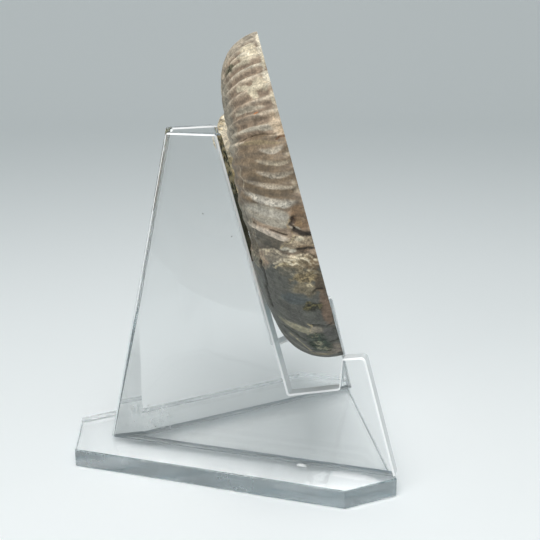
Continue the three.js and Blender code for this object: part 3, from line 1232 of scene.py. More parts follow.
@dataclass
class Ammonite:
    """The sawn fossil, made whorl by whorl and joined into one closed stone."""

    shape: AmmoniteShape = field(default_factory=AmmoniteShape)
    seen: Corner = (0.0, 166.0)
    seen_columns: int = 570
    lead_columns: int = 80
    tail_columns: int = 170
    flank_rows: int = 5
    rim_rows: int = 84
    rough: Cloud = Cloud(260.0, 4)
    broad: Cloud = Cloud(70.0, 2, 5.0)
    fray: Cloud = Cloud(520.0, 3, 11.0)
    streaks: Cloud = Cloud(1.0, 3, 3.0)
    streak_slant: float = 0.4
    streak_stretch: float = 0.12
    tint_streaks: float = 0.22
    tint_fray: float = 0.24
    tint_range: Corner = (0.01, 0.9)
    grain_depth: float = 0.10 * MM
    grain_streaks: float = 0.8
    rib_waver: float = 0.35
    thinned_by: float = 0.55
    thinned_rise: Corner = (62.0, 68.0)
    worn_by: float = 0.9
    worn_rise: Corner = (86.0, 92.0)
    worn_fall: Corner = (178.0, 200.0)
    fresh_by: float = 0.4
    fresh_rise: Corner = (190.0, 210.0)
    layers: tuple[Layer, ...] = (
        Layer(0.0, 0.6, 0.5, 1.0),
        Layer(1.3, 1.5, 0.25, 0.45, rough_share=0.6, fray_share=1.0),
        Layer(5.2, 1.8, 0.15, 0.3),
    )
    ledge_slope: Corner = (-0.2, 0.2)
    ledge_rise: Corner = (86.0, 99.0)
    ledge_fall: Corner = (165.0, 180.0)
    lips_beyond: float = 90.0
    # Painted highlight on each ledge's lip and painted shadow beside it
    lip: Corner = (0.12, 0.24)
    lip_shadow: Corner = (-0.55, 0.35)
    shadow_strength: float = 0.5
    end_ripple: float = 0.9
    end_ripple_reach: float = 7.0
    end_bumps: Cloud = Cloud(240.0, 3)
    end_roughness: float = 0.9 * MM
    end_hollow: float = 0.6
    end_border: float = 0.3
    end_cuts: int = 4
    weld: float = 0.02 * MM
    least_height: float = 0.05 * MM
    least_face_area: float = 0.0005
    skin: FossilSkin = FossilSkin()
    face: SawnFace = SawnFace()

    def column_angles(self, start: float) -> Array:
        """Angles of one whorl's columns, closer together where the shell is seen.

        Args:
            start: Angle at which the whorl begins, in degrees.

        Returns:
            Angles from its start to one full turn later.
        """
        first = self.shape.end_angle - 360
        lead = np.linspace(first, self.seen[0], self.lead_columns + 1)
        fine = np.linspace(*self.seen, self.seen_columns + 1)[1:]
        tail = np.linspace(self.seen[1], self.shape.end_angle, self.tail_columns + 1)[1:]
        return np.concatenate([lead, fine, tail]) - first + start

    def row_shares(self, outermost: bool) -> Array:
        """Shares of the way to the rim at which a whorl has its rows.

        Args:
            outermost: Whether the whorl is bare out to its rim.

        Returns:
            Shares from the umbilical seam outwards.
        """
        covered = self.shape.covered_at
        flank = np.linspace(0, covered, self.flank_rows + 1)
        if not outermost:
            return flank
        crest = self.shape.crest_at
        begin = math.asin((covered - crest) / (1 - crest))
        bend = np.linspace(begin, math.pi / 2, self.rim_rows + 1)[1:]
        return np.concatenate([flank, crest + (1 - crest) * np.sin(bend)])

    def add_whorl(self, index: int) -> bpy.types.Object:
        """Model one whorl's skin from a flat grid.

        Its innermost row is the seam, which lies on the whorl inside it.

        Args:
            index: 0 for the outermost whorl, counting inwards.

        Returns:
            The whorl as an open strip.
        """
        start = self.shape.end_angle - 360 * (index + 1)
        angles, shares = self.column_angles(start), self.row_shares(index == 0)
        columns, rows = len(angles) - 1, len(shares) - 1
        deselect()
        bpy.ops.mesh.primitive_grid_add(x_subdivisions=columns, y_subdivisions=rows, size=1.0)
        strip = bpy.context.object
        flat = np.zeros(len(strip.data.vertices) * 3, np.float64)
        strip.data.vertices.foreach_get("co", flat)
        flat = flat.reshape(-1, 3)
        column = np.rint((flat[:, 0] + 0.5) * columns).astype(int)
        row = np.rint((flat[:, 1] + 0.5) * rows).astype(int)
        seam = row == 0
        angle = np.where(seam, angles[column] - 360, angles[column])
        share = np.where(seam, self.shape.covered_at, shares[row])
        if index == 0:
            self.store(strip.data, "at_end", ((column == 0) | (column == columns)).astype(float))
            end = self.shape.end_angle
            last = soft_step(end - self.end_ripple_reach, end, angle) * (row > 0)
            waves = 1 + np.sin(share * 19) * np.sin(share * 7 + 1)
            angle = angle - last * self.end_ripple * waves * (share < 1)
        self.lay_skin(strip, angle, share)
        return strip

    def lay_skin(self, strip: bpy.types.Object, angle: Array, share: Array) -> None:
        """Move a strip's corners onto the shell and store its colours.

        Args:
            strip: The open strip.
            angle: Angle of each corner, in degrees.
            share: Share of the way to the rim of each corner.
        """
        shape = self.shape
        base = shape.envelope(angle, share)
        smooth_skin = shape.to_frame(angle, base[:, 0], base[:, 1])
        rough, broad, fray = (kind.at(smooth_skin) for kind in (self.rough, self.broad, self.fray))
        level = base[:, 1] / MM
        slanted = [angle + self.streak_slant * level, level * self.streak_stretch, 0 * level]
        streak = self.streaks.at(np.stack(slanted, axis=1))
        ribs = shape.ribbing(angle + self.rib_waver * broad, share)
        wear = self.rib_wear(angle)
        paint = SkinPaint(angle, share, level, smooth_skin, rough, broad, fray)
        paint.ribs(ribs, wear)
        for patch in PATCHES:
            paint.patch(patch)
        self.add_layers(paint)
        for crack in CRACKS:
            paint.crack(crack, shape.on_skin(crack.course))
        paint.darken_seam()
        paint.far_end()
        paint.chip_rim()
        varied = 1 + self.tint_streaks * streak + self.tint_fray * fray
        paint.tint = np.clip(paint.tint * varied[:, None], *self.tint_range)
        depth = shape.rib_depth * shape.rim(angle) * soft_step(0, shape.umbilical_fade, share)
        grain = self.grain_depth * (1 + rough + self.grain_streaks * streak)
        drop = depth * (1 - ribs) * wear + grain + paint.sink * MM
        place = base - shape.outward(angle, share) * drop[:, None]
        height = np.where(share >= 1, 0.0, np.maximum(place[:, 1], self.least_height))
        points = shape.to_frame(angle, place[:, 0], height)
        strip.data.vertices.foreach_set("co", points.astype(np.float32).ravel())
        self.store(strip.data, "gloss", paint.gloss)
        self.store(strip.data, "crust", paint.crust)
        colours = np.column_stack([paint.tint, np.ones(len(angle))])
        layer = strip.data.attributes.new("tint", "FLOAT_COLOR", "POINT")
        layer.data.foreach_set("color", colours.astype(np.float32).ravel())
        strip.data.update()

    @staticmethod
    def store(mesh: bpy.types.Mesh, name: str, values: Array) -> None:
        """Keep one number per corner on a mesh.

        Args:
            mesh: The mesh.
            name: Name of the attribute.
            values: One value per corner.
        """
        layer = mesh.attributes.new(name, "FLOAT", "POINT")
        layer.data.foreach_set("value", values.astype(np.float32))

    def rib_wear(self, angle: Array) -> Array:
        """How much of the ribs is left, from 0 where the shell is smooth to 1.

        Args:
            angle: Angles in degrees.

        Returns:
            Share of the full rib depth.
        """
        fading = 1 - self.thinned_by * soft_step(*self.thinned_rise, angle)
        worn_and_lit = soft_step(*self.worn_rise, angle) * (1 - soft_step(*self.worn_fall, angle))
        return fading * (1 - self.worn_by * worn_and_lit) + self.fresh_by * soft_step(*self.fresh_rise, angle)

    def add_layers(self, paint: "SkinPaint") -> None:
        """Break the outer layers off along jagged ledges, one step above the next, with a painted highlight
        on each lip and a painted shadow beside it.

        Args:
            paint: The skin so far.
        """
        angles, heights = np.array(LEDGE).T
        edge = np.interp(paint.height, heights, angles)
        keep = 1 - soft_step(*self.ledge_fall, paint.angle)
        bare = keep * (paint.angle > self.lips_beyond) * (paint.share > OUTER_SIDE_FROM)
        # Noise that breaks up the painted highlight on the lips
        worn_and_lit = np.clip(0.7 + 1.2 * paint.broad + 0.8 * paint.fray, 0, 1)
        for layer in self.layers:
            jagged = paint.rough * layer.rough_share + paint.fray * layer.fray_share
            beyond = paint.angle - edge - layer.offset - layer.waver * jagged
            left = (1 - soft_step(*self.ledge_slope, beyond)) * soft_step(*self.ledge_rise, paint.angle)
            paint.sink = paint.sink + layer.thickness * left * keep
            # Painted highlight in cream on the lip, painted shadow in dark beside it
            paint.blend(CREAM, bell(beyond, *self.lip) * worn_and_lit * bare * layer.lip_light_and_shade)
            shadow = bell(beyond, *self.lip_shadow) * self.shadow_strength
            paint.blend(DARK, shadow * bare * layer.lip_light_and_shade)

    def build(self) -> bpy.types.Object:
        """Join the whorls, close the end, the middle and the sawn face, and dress the stone.

        Returns:
            The finished ammonite.
        """
        strips = [self.add_whorl(index) for index in range(self.shape.whorls)]
        deselect()
        for strip in strips:
            strip.select_set(True)
        bpy.context.view_layer.objects.active = strips[0]
        bpy.ops.object.join()
        stone = bpy.context.object
        stone.name = stone.data.name = "ammonite_stone"
        with editing(stone):
            bpy.ops.mesh.remove_doubles(threshold=self.weld)
        self.close_end(stone)
        with editing(stone):
            bpy.ops.mesh.fill_holes(sides=0)
            bpy.ops.mesh.select_all(action="SELECT")
            bpy.ops.mesh.normals_make_consistent(inside=False)
        self.dress(stone)
        fit_to_frame(stone, "fossil", "ammonite")
        return stone

    def close_end(self, stone: bpy.types.Object) -> None:
        """Wall up the open end of the last whorl with a rough break.

        Args:
            stone: The joined skin.
        """
        shape, mesh = self.shape, stone.data
        with editing(stone, "DESELECT"):
            bpy.ops.mesh.select_non_manifold(
                extend=False, use_wire=False, use_boundary=True, use_multi_face=False,
                use_non_contiguous=False, use_verts=False,
            )
        marks = mesh.attributes["at_end"].data
        for vertex in mesh.vertices:
            vertex.select = vertex.select and marks[vertex.index].value > 0.5
        for edge in mesh.edges:
            edge.select = all(mesh.vertices[index].select for index in edge.vertices)
        for polygon in mesh.polygons:
            polygon.select = False
        skin_corners = len(mesh.vertices)
        with editing(stone, None):
            bpy.ops.mesh.edge_face_add()
            bpy.ops.mesh.quads_convert_to_tris(quad_method="BEAUTY", ngon_method="BEAUTY")
            bpy.ops.mesh.subdivide(number_cuts=self.end_cuts)
            bpy.ops.mesh.select_all(action="DESELECT")
        middle, axes = Vector(shape.centre), shape.axes()
        end_turn = math.radians(shape.end_angle)
        forward = axes @ Vector((-math.cos(end_turn), -math.sin(end_turn), 0))
        for vertex in mesh.vertices[skin_corners:]:
            above_cut = -(vertex.co - middle).dot(axes.col[2])
            level = min(max(above_cut / MM - self.end_border, 0), 1)
            bumps = self.end_bumps.level(vertex.co * self.end_bumps.scale)
            vertex.co += forward * (bumps - self.end_hollow) * self.end_roughness * level

    def dress(self, stone: bpy.types.Object) -> None:
        """Give the skin, the sawn face and the end their finishes and shading.

        Args:
            stone: The closed stone.
        """
        mesh = stone.data
        mesh.materials.clear()
        mesh.materials.append(self.skin.material())
        mesh.materials.append(self.face.material(self.shape))
        front = self.shape.axes().col[2]
        for polygon in mesh.polygons:
            sawn = polygon.normal.dot(front) > FACING and polygon.area > self.least_face_area
            polygon.material_index = 1 if sawn else 0
        make_active(stone)
        bpy.ops.object.shade_smooth_by_angle(angle=SMOOTH_BELOW)


@dataclass
class SkinPaint:
    """Colour, gloss and sunken depth of the skin's corners while they are painted."""

    angle: Array
    share: Array
    height: Array
    points: Array
    rough: Array
    broad: Array
    fray: Array
    tint: Array = field(init=False)
    gloss: Array = field(init=False)
    crust: Array = field(init=False)
    sink: Array = field(init=False)
    plain_gloss: float = 0.25
    inner_seam: Corner = (0.0, 0.07)
    outer_seam: Corner = (0.409, 0.025)
    outer_seam_before: float = -66.0
    mineral_rise: Corner = (252.0, 282.0)
    green_band: Corner = (274.0, 7.0)
    white_rise: Corner = (286.5, 288.0)
    stripe_band: Corner = (289.6, 0.8)
    chip_rise: Corner = (0.12, 0.5)
    chip_fall: Corner = (0.5, 2.2)
    chip_depth: float = 0.45
    rim_from: float = 0.9
    pale_chips_fall: Corner = (85.0, 100.0)
    crack_reach: float = 3.0
    crack_margin: float = 2.5
    crack_border: Corner = (0.5, 1.5)

    def __post_init__(self) -> None:
        """Start with an even, unpainted skin."""
        count = len(self.angle)
        self.tint = np.tile(skin_colour(MAUVE), (count, 1))
        self.gloss = np.full(count, self.plain_gloss)
        self.crust = np.zeros(count)
        self.sink = np.zeros(count)

    def blend(self, colour: Shown, weight: Array) -> None:
        """Paint over the skin.

        Args:
            colour: The colour to add.
            weight: Its share at each corner.
        """
        part = weight[:, None]
        self.tint = self.tint * (1 - part) + np.array(skin_colour(colour)) * part

    def ribs(self, ribs: Array, wear: Array) -> None:
        """Pale the rib crests, partly wear and partly painted highlight, and darken the grooves with painted
        shade.

        Args:
            ribs: Rib heights from 0 to 1.
            wear: Share of the ribs that is left.
        """
        # Pale crests are partly wear and partly painted highlight; darker grooves are painted shade
        pale = ribs ** 2 * wear * np.clip(0.75 + 0.9 * self.broad + 0.5 * self.rough, 0, 1)
        self.blend(CREST_WEAR_AND_HIGHLIGHT, 0.75 * pale)
        self.blend(GROOVE_SHADE, 0.35 * (1 - ribs) * wear)

    def patch(self, patch: Patch) -> None:
        """Paint one patch.

        Args:
            patch: The patch to add.
        """
        mix = 0.55 * self.rough + 0.45 * self.fray
        weight = patch.weight(self.angle, self.height, mix)
        weight = np.where(self.share > OUTER_SIDE_FROM, weight, 0.0)
        self.blend(patch.colour, weight)
        self.sink = self.sink + patch.sink * weight
        self.gloss = self.gloss * (1 - weight) + patch.gloss * weight
        self.crust = self.crust * (1 - weight) + patch.crust * weight

    def darken_seam(self) -> None:
        """Darken the spiral seam between the whorls."""
        inner = bell(self.share, *self.inner_seam)
        outer = bell(self.share, *self.outer_seam) * (self.angle < self.outer_seam_before)
        self.blend(SEAM_DARK, np.clip(inner + outer, 0, 1) * 0.75)

    def far_end(self) -> None:
        """Paint the cream and golden mineral that shows at the last whorl's far end."""
        near_end = soft_step(*self.mineral_rise, self.angle + 14 * self.broad + 8 * self.rough)
        self.blend(GOLD, near_end * 0.9)
        cream = near_end * np.clip(0.4 + 1.8 * self.rough, 0, 1)
        self.blend(CREAM, cream * 0.6)
        green = bell(self.angle - 8 * self.broad, *self.green_band) * np.clip(0.5 + 2.2 * self.fray, 0, 1)
        self.blend(GREEN_CRUST, green * 0.75)
        self.blend(WHITE, soft_step(*self.white_rise, self.angle + self.rough) * 0.8)
        stripe = bell(self.angle - 0.7 * self.rough, *self.stripe_band) * np.clip(0.8 + self.fray, 0, 1)
        self.blend(BROWN_STRIPE, stripe * 0.9)
        self.crust = np.maximum(self.crust, near_end * 0.5)

    def chip_rim(self) -> None:
        """Chip the sharp rim beside the saw cut."""
        beside_cut = 1 - soft_step(*self.chip_fall, self.height)
        chipped = soft_step(*self.chip_rise, self.rough + 0.6 * self.fray) * beside_cut
        self.sink = self.sink + self.chip_depth * chipped * (self.share > self.rim_from)
        self.blend(CHALK, 0.35 * chipped * (1 - soft_step(*self.pale_chips_fall, self.angle)))

    def crack(self, crack: Crack, course: Array) -> None:
        """Draw one crack.

        Args:
            crack: The crack to add.
            course: Its corners on the skin, in metres.
        """
        reach = (crack.width * self.crack_reach + self.crack_margin) * MM
        low, high = course.min(axis=0) - reach, course.max(axis=0) + reach
        near = np.all((self.points > low) & (self.points < high), axis=1) & (self.share > OUTER_SIDE_FROM)
        if not near.any():
            return
        shift = np.stack([self.fray[near], self.rough[near], self.broad[near]], axis=1) * crack.waver * MM
        gap = line_distance(self.points[near] + shift, course) / (crack.width * MM)
        weight = np.zeros(len(self.angle))
        weight[near] = (1 - soft_step(*self.crack_border, gap)) * crack.strength
        self.blend(crack.colour, weight)
        self.sink = self.sink + crack.depth * weight


# Stand

@dataclass
class AcrylicSheet:
    """A flat piece sawn from sheet and polished, modelled as its outline pushed up."""

    name: str
    outline: list[Corner]
    thickness: float
    rounding: dict[int, float] = field(default_factory=dict)
    edge_bevel: float = 0.5 * MM
    bevel_segments: int = 1
    rounding_segments: int = 4
    sharp_from: float = math.radians(30)
    same_place: float = 1e-6

    def blank(self) -> bpy.types.Object:
        """Model the sheet lying flat, with its outline in X and Y.

        Returns:
            The prism with rounded corners.
        """
        deselect()
        bpy.ops.mesh.primitive_circle_add(vertices=len(self.outline), radius=0.05, fill_type="NGON")
        sheet = bpy.context.object
        sheet.name = sheet.data.name = self.name
        for vertex, (x, y) in zip(sheet.data.vertices, self.outline):
            vertex.co = (x, y, 0)
        spots = [Vector((*self.outline[index], 0)) for index in self.rounding]
        for spot, offset in zip(spots, self.rounding.values()):
            self.round_corner(sheet, spot, offset)
        with editing(sheet):
            bpy.ops.mesh.extrude_region_move(TRANSFORM_OT_translate={"value": (0, 0, self.thickness)})
            bpy.ops.mesh.select_all(action="SELECT")
            bpy.ops.mesh.normals_make_consistent(inside=False)
        return sheet

    def round_corner(self, sheet: bpy.types.Object, spot: Vector, offset: float) -> None:
        """Round one corner of the flat outline.

        Args:
            sheet: The flat outline.
            spot: Place of the corner.
            offset: How far along its edges the rounding reaches.
        """
        with editing(sheet, None):
            bpy.ops.mesh.select_all(action="DESELECT")
        for vertex in sheet.data.vertices:
            vertex.select = (vertex.co - spot).length < self.same_place
        with editing(sheet, None):
            bpy.ops.mesh.bevel(offset=offset, segments=self.rounding_segments, affect="VERTICES")

    def soften(self, sheet: bpy.types.Object) -> None:
        """Break the sheet's sharp edges.

        Args:
            sheet: The finished prism in its place.
        """
        settle(sheet)
        finish_modifier(
            sheet, "BEVEL", width=self.edge_bevel, segments=self.bevel_segments,
            limit_method="ANGLE", angle_limit=self.sharp_from, use_clamp_overlap=False,
        )
        make_active(sheet)
        bpy.ops.object.shade_flat()


class Side(Enum):
    """The stand's two sides, with the sign of their Y direction."""

    LEFT = -1
    RIGHT = 1


@dataclass
class Stand:
    """Six-sided base plate with two notched uprights in a V.

    The corners of the uprights' outline and the reach of their rounding are in millimetres.
    """

    base_thickness: float = 6 * MM
    base_half_length: float = 51.1 * MM
    back_half_width: float = 13.0 * MM
    side_corner_x: float = 33.4 * MM
    side_half_width: float = 50.5 * MM
    front_half_width: float = 44.3 * MM
    base_bevel: float = 0.35 * MM
    sheet: float = 5 * MM
    upright_corners: tuple[Corner, ...] = (
        (0, 0), (98, 0), (87.2, 38.7), (80.1, 37.3), (79.4, 27.4), (63.1, 23.5), (39.9, 104.7), (23.3, 104.7),
    )
    upright_rounding: tuple[tuple[int, float], ...] = ((2, 1.4), (3, 0.5), (4, 0.5), (5, 0.5))
    opening: float = math.radians(23.6)
    back_x: float = -39.3 * MM
    axis_y: float = -4.25 * MM
    corner_gap: float = 0.55 * MM
    cement_film: float = 0.15 * MM
    half_mitre_gap: float = 0.15 * MM
    base_acrylic: ClearAcrylic = ClearAcrylic("base_acrylic", absorption=2.0)
    right_acrylic: ClearAcrylic = ClearAcrylic("right_upright_acrylic", surface=(0.935, 0.94, 0.94))
    left_acrylic: ClearAcrylic = ClearAcrylic(
        "left_upright_acrylic",
        surface=(0.935, 0.94, 0.94),
        scuffs_from=(-37 * MM, -20 * MM, 9 * MM),
        scuffs_to=(-14 * MM, -2 * MM, 22 * MM),
    )
    sawn_side: SawnAcrylic = SawnAcrylic("sawn_side_acrylic")
    glued_foot: SawnAcrylic = SawnAcrylic(
        "glued_foot_acrylic", surface=(0.42, 0.44, 0.46), dull=0.3, streak_depth=0.0, clearness=0.3,
    )
    # Painted highlights: white corners and edges stand in for the bright lines along the uprights' edges
    painted_highlight_corner: PaintedHighlightEdge = PaintedHighlightEdge(clearness=0.05)
    painted_highlight_edge: PaintedHighlightEdge = PaintedHighlightEdge("painted_highlight_edge_acrylic", clearness=0.35)
    front_edges_beyond: float = 19 * MM
    # The rest edge carries a painted reflection of the stone above rest_shaded_above and a painted highlight
    # below it
    rest_edge: ShadedEdge = ShadedEdge()
    rest_shaded_above: float = 72.0 * MM
    chamfer_tilt: Corner = (0.6, 0.8)
    edge_tilt: float = 0.3
    side_tilt: float = 0.2
    foot_tilt: float = -0.6
    drop_place: Corner = (67.9 * MM, 0.72 * MM)
    drop_radii: Point = (1.7 * MM, 0.66 * MM, 0.75 * MM)
    speck_places: tuple[Point, ...] = (
        (35.3 * MM, 0.2 * MM, 80.4 * MM), (44.7 * MM, 0.2 * MM, 73.8 * MM),
    )
    speck_radius: float = 0.17 * MM
    cement: DriedCement = DriedCement()
    dust: MattPaint = MattPaint("dark_dust", (0.12, 0.11, 0.10))

    def upright_outline(self) -> list[Corner]:
        """Corners of an upright along its run and up the sheet.

        Returns:
            The outline in metres.
        """
        return [(along * MM, up * MM) for along, up in self.upright_corners]

    def base_plate(self) -> bpy.types.Object:
        """Model the base plate.

        Returns:
            The plate in its place.
        """
        ends = self.base_half_length
        outline = [
            (-ends, -self.back_half_width),
            (self.side_corner_x, -self.side_half_width),
            (ends, -self.front_half_width),
            (ends, self.front_half_width),
            (self.side_corner_x, self.side_half_width),
            (-ends, self.back_half_width),
        ]
        piece = AcrylicSheet(
            "clear_base_plate", outline, self.base_thickness, edge_bevel=self.base_bevel, bevel_segments=2,
        )
        plate = piece.blank()
        piece.soften(plate)
        return plate

    def upright(self, side: Side) -> bpy.types.Object:
        """Model one upright.

        Args:
            side: Which of the two uprights.

        Returns:
            The upright in its place.
        """
        rounding = {index: reach * MM for index, reach in self.upright_rounding}
        name = f"clear_{side.name.lower()}_upright"
        piece = AcrylicSheet(name, self.upright_outline(), self.sheet, rounding)
        sheet = piece.blank()
        stand_up = Matrix.Rotation(math.radians(90), 4, "X")
        inwards = Matrix.Translation((0, self.sheet, 0))
        swing = Matrix.Rotation(-self.opening, 4, "Z")
        foot = self.base_thickness + self.cement_film
        corner = Matrix.Translation((self.back_x, self.axis_y - self.corner_gap, foot))
        sheet.matrix_world = corner @ swing @ inwards @ stand_up
        settle(sheet)
        mitre = (0, self.axis_y - self.half_mitre_gap, 0)
        with editing(sheet):
            bpy.ops.mesh.bisect(plane_co=mitre, plane_no=(0, 1, 0), use_fill=True, clear_outer=True)
            bpy.ops.mesh.select_all(action="SELECT")
            bpy.ops.mesh.bisect(plane_co=(0, 0, self.rest_shaded_above), plane_no=(0, 0, 1))
        if side is Side.RIGHT:
            with editing(sheet):
                bpy.ops.transform.resize(value=(1, -1, 1), center_override=(0, self.axis_y, 0))
        close_up(sheet)
        piece.soften(sheet)
        return sheet

    @staticmethod
    def dress_faces(
        sheet: bpy.types.Object, finish: bpy.types.Material, chosen: Callable[[bpy.types.MeshPolygon], bool],
    ) -> None:
        """Give some faces of a sheet their own finish.

        Args:
            sheet: The piece.
            finish: Their material.
            chosen: Whether a face gets it.
        """
        sheet.data.materials.append(finish)
        slot = len(sheet.data.materials) - 1
        for polygon in sheet.data.polygons:
            if chosen(polygon):
                polygon.material_index = slot

    def dress_upright(self, sheet: bpy.types.Object, side: Side) -> None:
        """Give an upright's corners, front edges and lower rest edge a painted highlight, its upper rest edge
        a painted reflection of the stone, and its glued foot its own finish.

        Args:
            sheet: The upright.
            side: Which of the two it is.
        """
        out = side.value
        run = Vector((math.cos(self.opening), out * math.sin(self.opening), 0))
        across = Vector((math.sin(self.opening), -out * math.cos(self.opening), 0))
        corners = self.upright_outline()
        (low_run, low_level), (high_run, high_level) = corners[5], corners[6]
        resting = (run * (high_level - low_level) + Vector((0, 0, low_run - high_run))).normalized()
        (low, high), tilt = self.chamfer_tilt, self.edge_tilt
        front, shaded, foot_top = self.front_edges_beyond, self.rest_shaded_above, self.base_thickness + MM
        rules = (
            # Painted highlight on the corners, the front edges and the lower rest edge
            (self.painted_highlight_corner, lambda face: low < abs(face.normal.dot(across)) < high),
            (self.painted_highlight_edge, lambda face: abs(face.normal.dot(across)) < tilt and face.center.x > front),
            (self.painted_highlight_edge, lambda face: face.normal.dot(resting) > FACING and face.center.z < shaded),
            # Painted reflection of the stone on the upper rest edge
            (self.rest_edge, lambda face: face.normal.dot(resting) > FACING and face.center.z > shaded),
            (self.glued_foot, lambda face: face.normal.z < self.foot_tilt and face.center.z < foot_top),
        )
        for finish, chosen in rules:
            self.dress_faces(sheet, finish.material(), chosen)

    def glue_drop(self) -> bpy.types.Object:
        """Model the drop of cement that was squeezed out at the left upright's foot.

        Returns:
            The drop.
        """
        deselect()
        place = self.beside_foot(*self.drop_place)
        bpy.ops.mesh.primitive_uv_sphere_add(segments=32, ring_count=16, radius=1.0, location=place)
        drop = bpy.context.object
        drop.name = drop.data.name = "cement_drop"
        drop.scale = self.drop_radii
        drop.rotation_euler = (0, 0, -self.opening)
        settle(drop)
        plate_top = (0, 0, self.base_thickness)
        with editing(drop):
            bpy.ops.mesh.bisect(plane_co=plate_top, plane_no=(0, 0, 1), use_fill=True, clear_inner=True)
        close_up(drop)
        bpy.ops.object.shade_smooth_by_angle(angle=SMOOTH_BELOW)
        return drop

    def beside_foot(self, along: float, away: float, above: float = 0.0) -> Point:
        """Place beside the left upright's outer face.

        Args:
            along: Distance along its run.
            away: Distance from its outer face.
            above: Height above the base plate.

        Returns:
            The place.
        """
        run, out = math.cos(self.opening), math.sin(self.opening)
        x = self.back_x + along * run - away * out
        y = self.axis_y - self.corner_gap - along * out - away * run
        return x, y, self.base_thickness + above

    def dust_specks(self) -> bpy.types.Object:
        """Model two specks on the left upright's outer face.

        Returns:
            Both specks as one object.
        """
        specks = []
        deselect()
        for spot in self.speck_places:
            place = self.beside_foot(*spot)
            bpy.ops.mesh.primitive_ico_sphere_add(subdivisions=2, radius=self.speck_radius, location=place)
            specks.append(bpy.context.object)
        make_active(specks[0])
        specks[1].select_set(True)
        bpy.ops.object.join()
        pair = bpy.context.object
        pair.name = pair.data.name = "dust_specks"
        settle(pair)
        return pair

    def build(self) -> list[bpy.types.Object]:
        """Model and dress the three sheets, the cement drop and the dust.

        Returns:
            All pieces of the stand.
        """
        plate, left, right = self.base_plate(), self.upright(Side.LEFT), self.upright(Side.RIGHT)
        side, base = self.sawn_side.material(), self.base_acrylic.material()
        plain = {plate: base, left: self.left_acrylic.material(), right: self.right_acrylic.material()}
        for piece, finish in plain.items():
            piece.data.materials.clear()
            piece.data.materials.append(finish)
        self.dress_faces(plate, side, lambda face: abs(face.normal.z) < self.side_tilt)
        self.dress_upright(left, Side.LEFT)
        self.dress_upright(right, Side.RIGHT)
        fit_to_frame(plate, "acrylic", "base_plate")
        fit_to_frame(left, "acrylic", "left_upright")
        fit_to_frame(right, "acrylic", "right_upright")
        drop, specks = self.glue_drop(), self.dust_specks()
        drop.data.materials.append(self.cement.material())
        specks.data.materials.append(self.dust.material())
        fit_to_frame(drop, "acrylic")
        fit_to_frame(specks, "acrylic")
        pieces = [plate, left, right, drop, specks]
        for piece in pieces:
            log.info("%s: %d faces", piece.name, len(piece.data.polygons))
        return pieces


# Studio

def aim(holder: bpy.types.Object, ahead: Vector) -> None:
    """Turn a light or the camera towards a direction.

    Args:
        holder: What is turned.
        ahead: The direction.
    """
    holder.rotation_mode = "QUATERNION"
    holder.rotation_quaternion = ahead.to_track_quat("-Z", "Y")


@dataclass(frozen=True)
class SoftLamp:
    """One soft light that faces a point: a square, or an oval when it has a height."""

    name: str
    place: Point
    target: Point
    width: float
    power: float
    height: float | None = None

    def hang(self) -> None:
        """Add the light to the scene."""
        lamp = bpy.data.lights.new(self.name, "AREA")
        lamp.size, lamp.energy = self.width, self.power
        if self.height is not None:
            lamp.shape, lamp.size_y = "ELLIPSE", self.height
        holder = bpy.data.objects.new(self.name, lamp)
        bpy.context.scene.collection.objects.link(holder)
        holder.location = self.place
        aim(holder, Vector(self.target) - Vector(self.place))


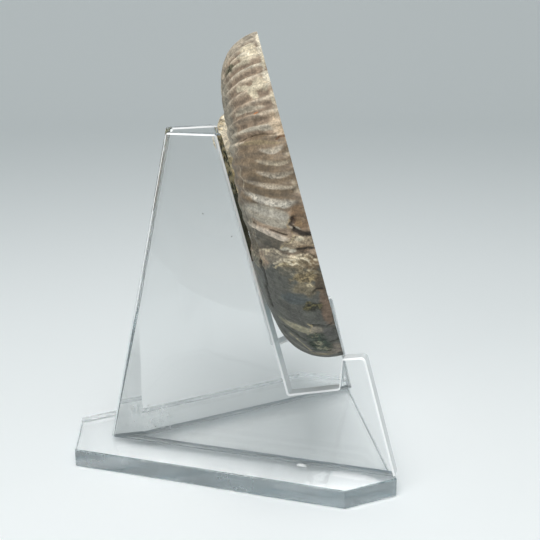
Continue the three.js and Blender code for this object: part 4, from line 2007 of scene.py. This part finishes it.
@dataclass
class Studio:
    """Pale floor that curves up behind, soft lights and the camera."""

    floor_paint: MattPaint = MattPaint("pale_floor", (0.92, 0.94, 0.945))
    floor_front: float = -1.6
    floor_reach: float = 2.8
    floor_width: float = 40.0
    floor_gap: float = 0.0003
    floor_rows: int = 96
    sweep_radius: float = 0.9
    wall_height: float = 1.6
    lamps: tuple[SoftLamp, ...] = (
        SoftLamp("overhead", (-0.02, -0.24, 0.60), (0.02, -0.05, 0.03), 0.34, 2.1),
        SoftLamp("left_front", (-0.7, -0.8, 0.4), (0.02, 0, 0.06), 0.7, 2.6),
        SoftLamp("back_right", (0.175, 0.65, 0.392), (0.036, -0.044, 0.006), 0.092, 0.0155, 0.046),
    )
    sky: Colour = (0.435, 0.47, 0.475)
    camera_place: Point = (-0.01515, -0.2882, 0.13882)
    camera_yaw: float = math.radians(6.158)
    camera_pitch: float = math.radians(-14.708)
    lens: float = 58.77
    film_width: float = 36.0
    nearest: float = 0.01
    farthest: float = 50.0
    bounces: int = 40

    def floor(self) -> None:
        """Lay the floor and its backdrop."""
        deselect()
        bpy.ops.mesh.primitive_grid_add(x_subdivisions=1, y_subdivisions=self.floor_rows, size=1.0)
        floor = bpy.context.object
        floor.name = "floor"
        arc = self.sweep_radius * math.pi / 2
        for vertex in floor.data.vertices:
            along = (vertex.co.y + 0.5) * (self.floor_reach + arc + self.wall_height)
            beyond = along - self.floor_reach
            bend = min(max(beyond / self.sweep_radius, 0), math.pi / 2)
            above = max(beyond - arc, 0)
            depth = min(along, self.floor_reach) + self.sweep_radius * math.sin(bend)
            height = self.sweep_radius * (1 - math.cos(bend)) + above
            vertex.co = (vertex.co.x * self.floor_width, depth + self.floor_front, height - self.floor_gap)
        make_active(floor)
        bpy.ops.object.shade_smooth()
        floor.data.materials.append(self.floor_paint.material())

    def lights(self) -> None:
        """Set up the lights and the sky."""
        for lamp in self.lamps:
            lamp.hang()
        world = bpy.data.worlds.new("studio_air")
        bpy.context.scene.world = world
        world.use_nodes = True
        air = world.node_tree.nodes["Background"]
        air.inputs["Color"].default_value = (*self.sky, 1)
        air.inputs["Strength"].default_value = 1.0

    def camera(self) -> None:
        """Set up the camera at the photograph's angle."""
        data = bpy.data.cameras.new("photo_camera")
        data.sensor_width, data.lens = self.film_width, self.lens
        data.clip_start, data.clip_end = self.nearest, self.farthest
        camera = bpy.data.objects.new("photo_camera", data)
        bpy.context.scene.collection.objects.link(camera)
        yaw, pitch = self.camera_yaw, self.camera_pitch
        level = math.cos(pitch)
        camera.location = self.camera_place
        aim(camera, Vector((math.sin(yaw) * level, math.cos(yaw) * level, math.sin(pitch))))
        bpy.context.scene.camera = camera

    def build(self) -> None:
        """Set up floor, lights, camera, plain colours and enough bounces for light inside the acrylic."""
        self.floor()
        self.lights()
        self.camera()
        scene = bpy.context.scene
        scene.view_settings.view_transform = "Standard"
        scene.cycles.max_bounces = self.bounces
        scene.cycles.transmission_bounces = self.bounces
        scene.cycles.glossy_bounces = self.bounces
        scene.cycles.blur_glossy = 0.0


def main() -> None:
    """Build the scene's pieces in order."""
    logging.basicConfig(level=logging.INFO, format="%(message)s")
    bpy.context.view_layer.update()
    Studio().build()
    stand = Stand().build()
    log.info("stand: %d pieces", len(stand))
    stone = Ammonite().build()
    log.info("ammonite: %d corners, %d faces", len(stone.data.vertices), len(stone.data.polygons))


if __name__ == "__main__":
    main()
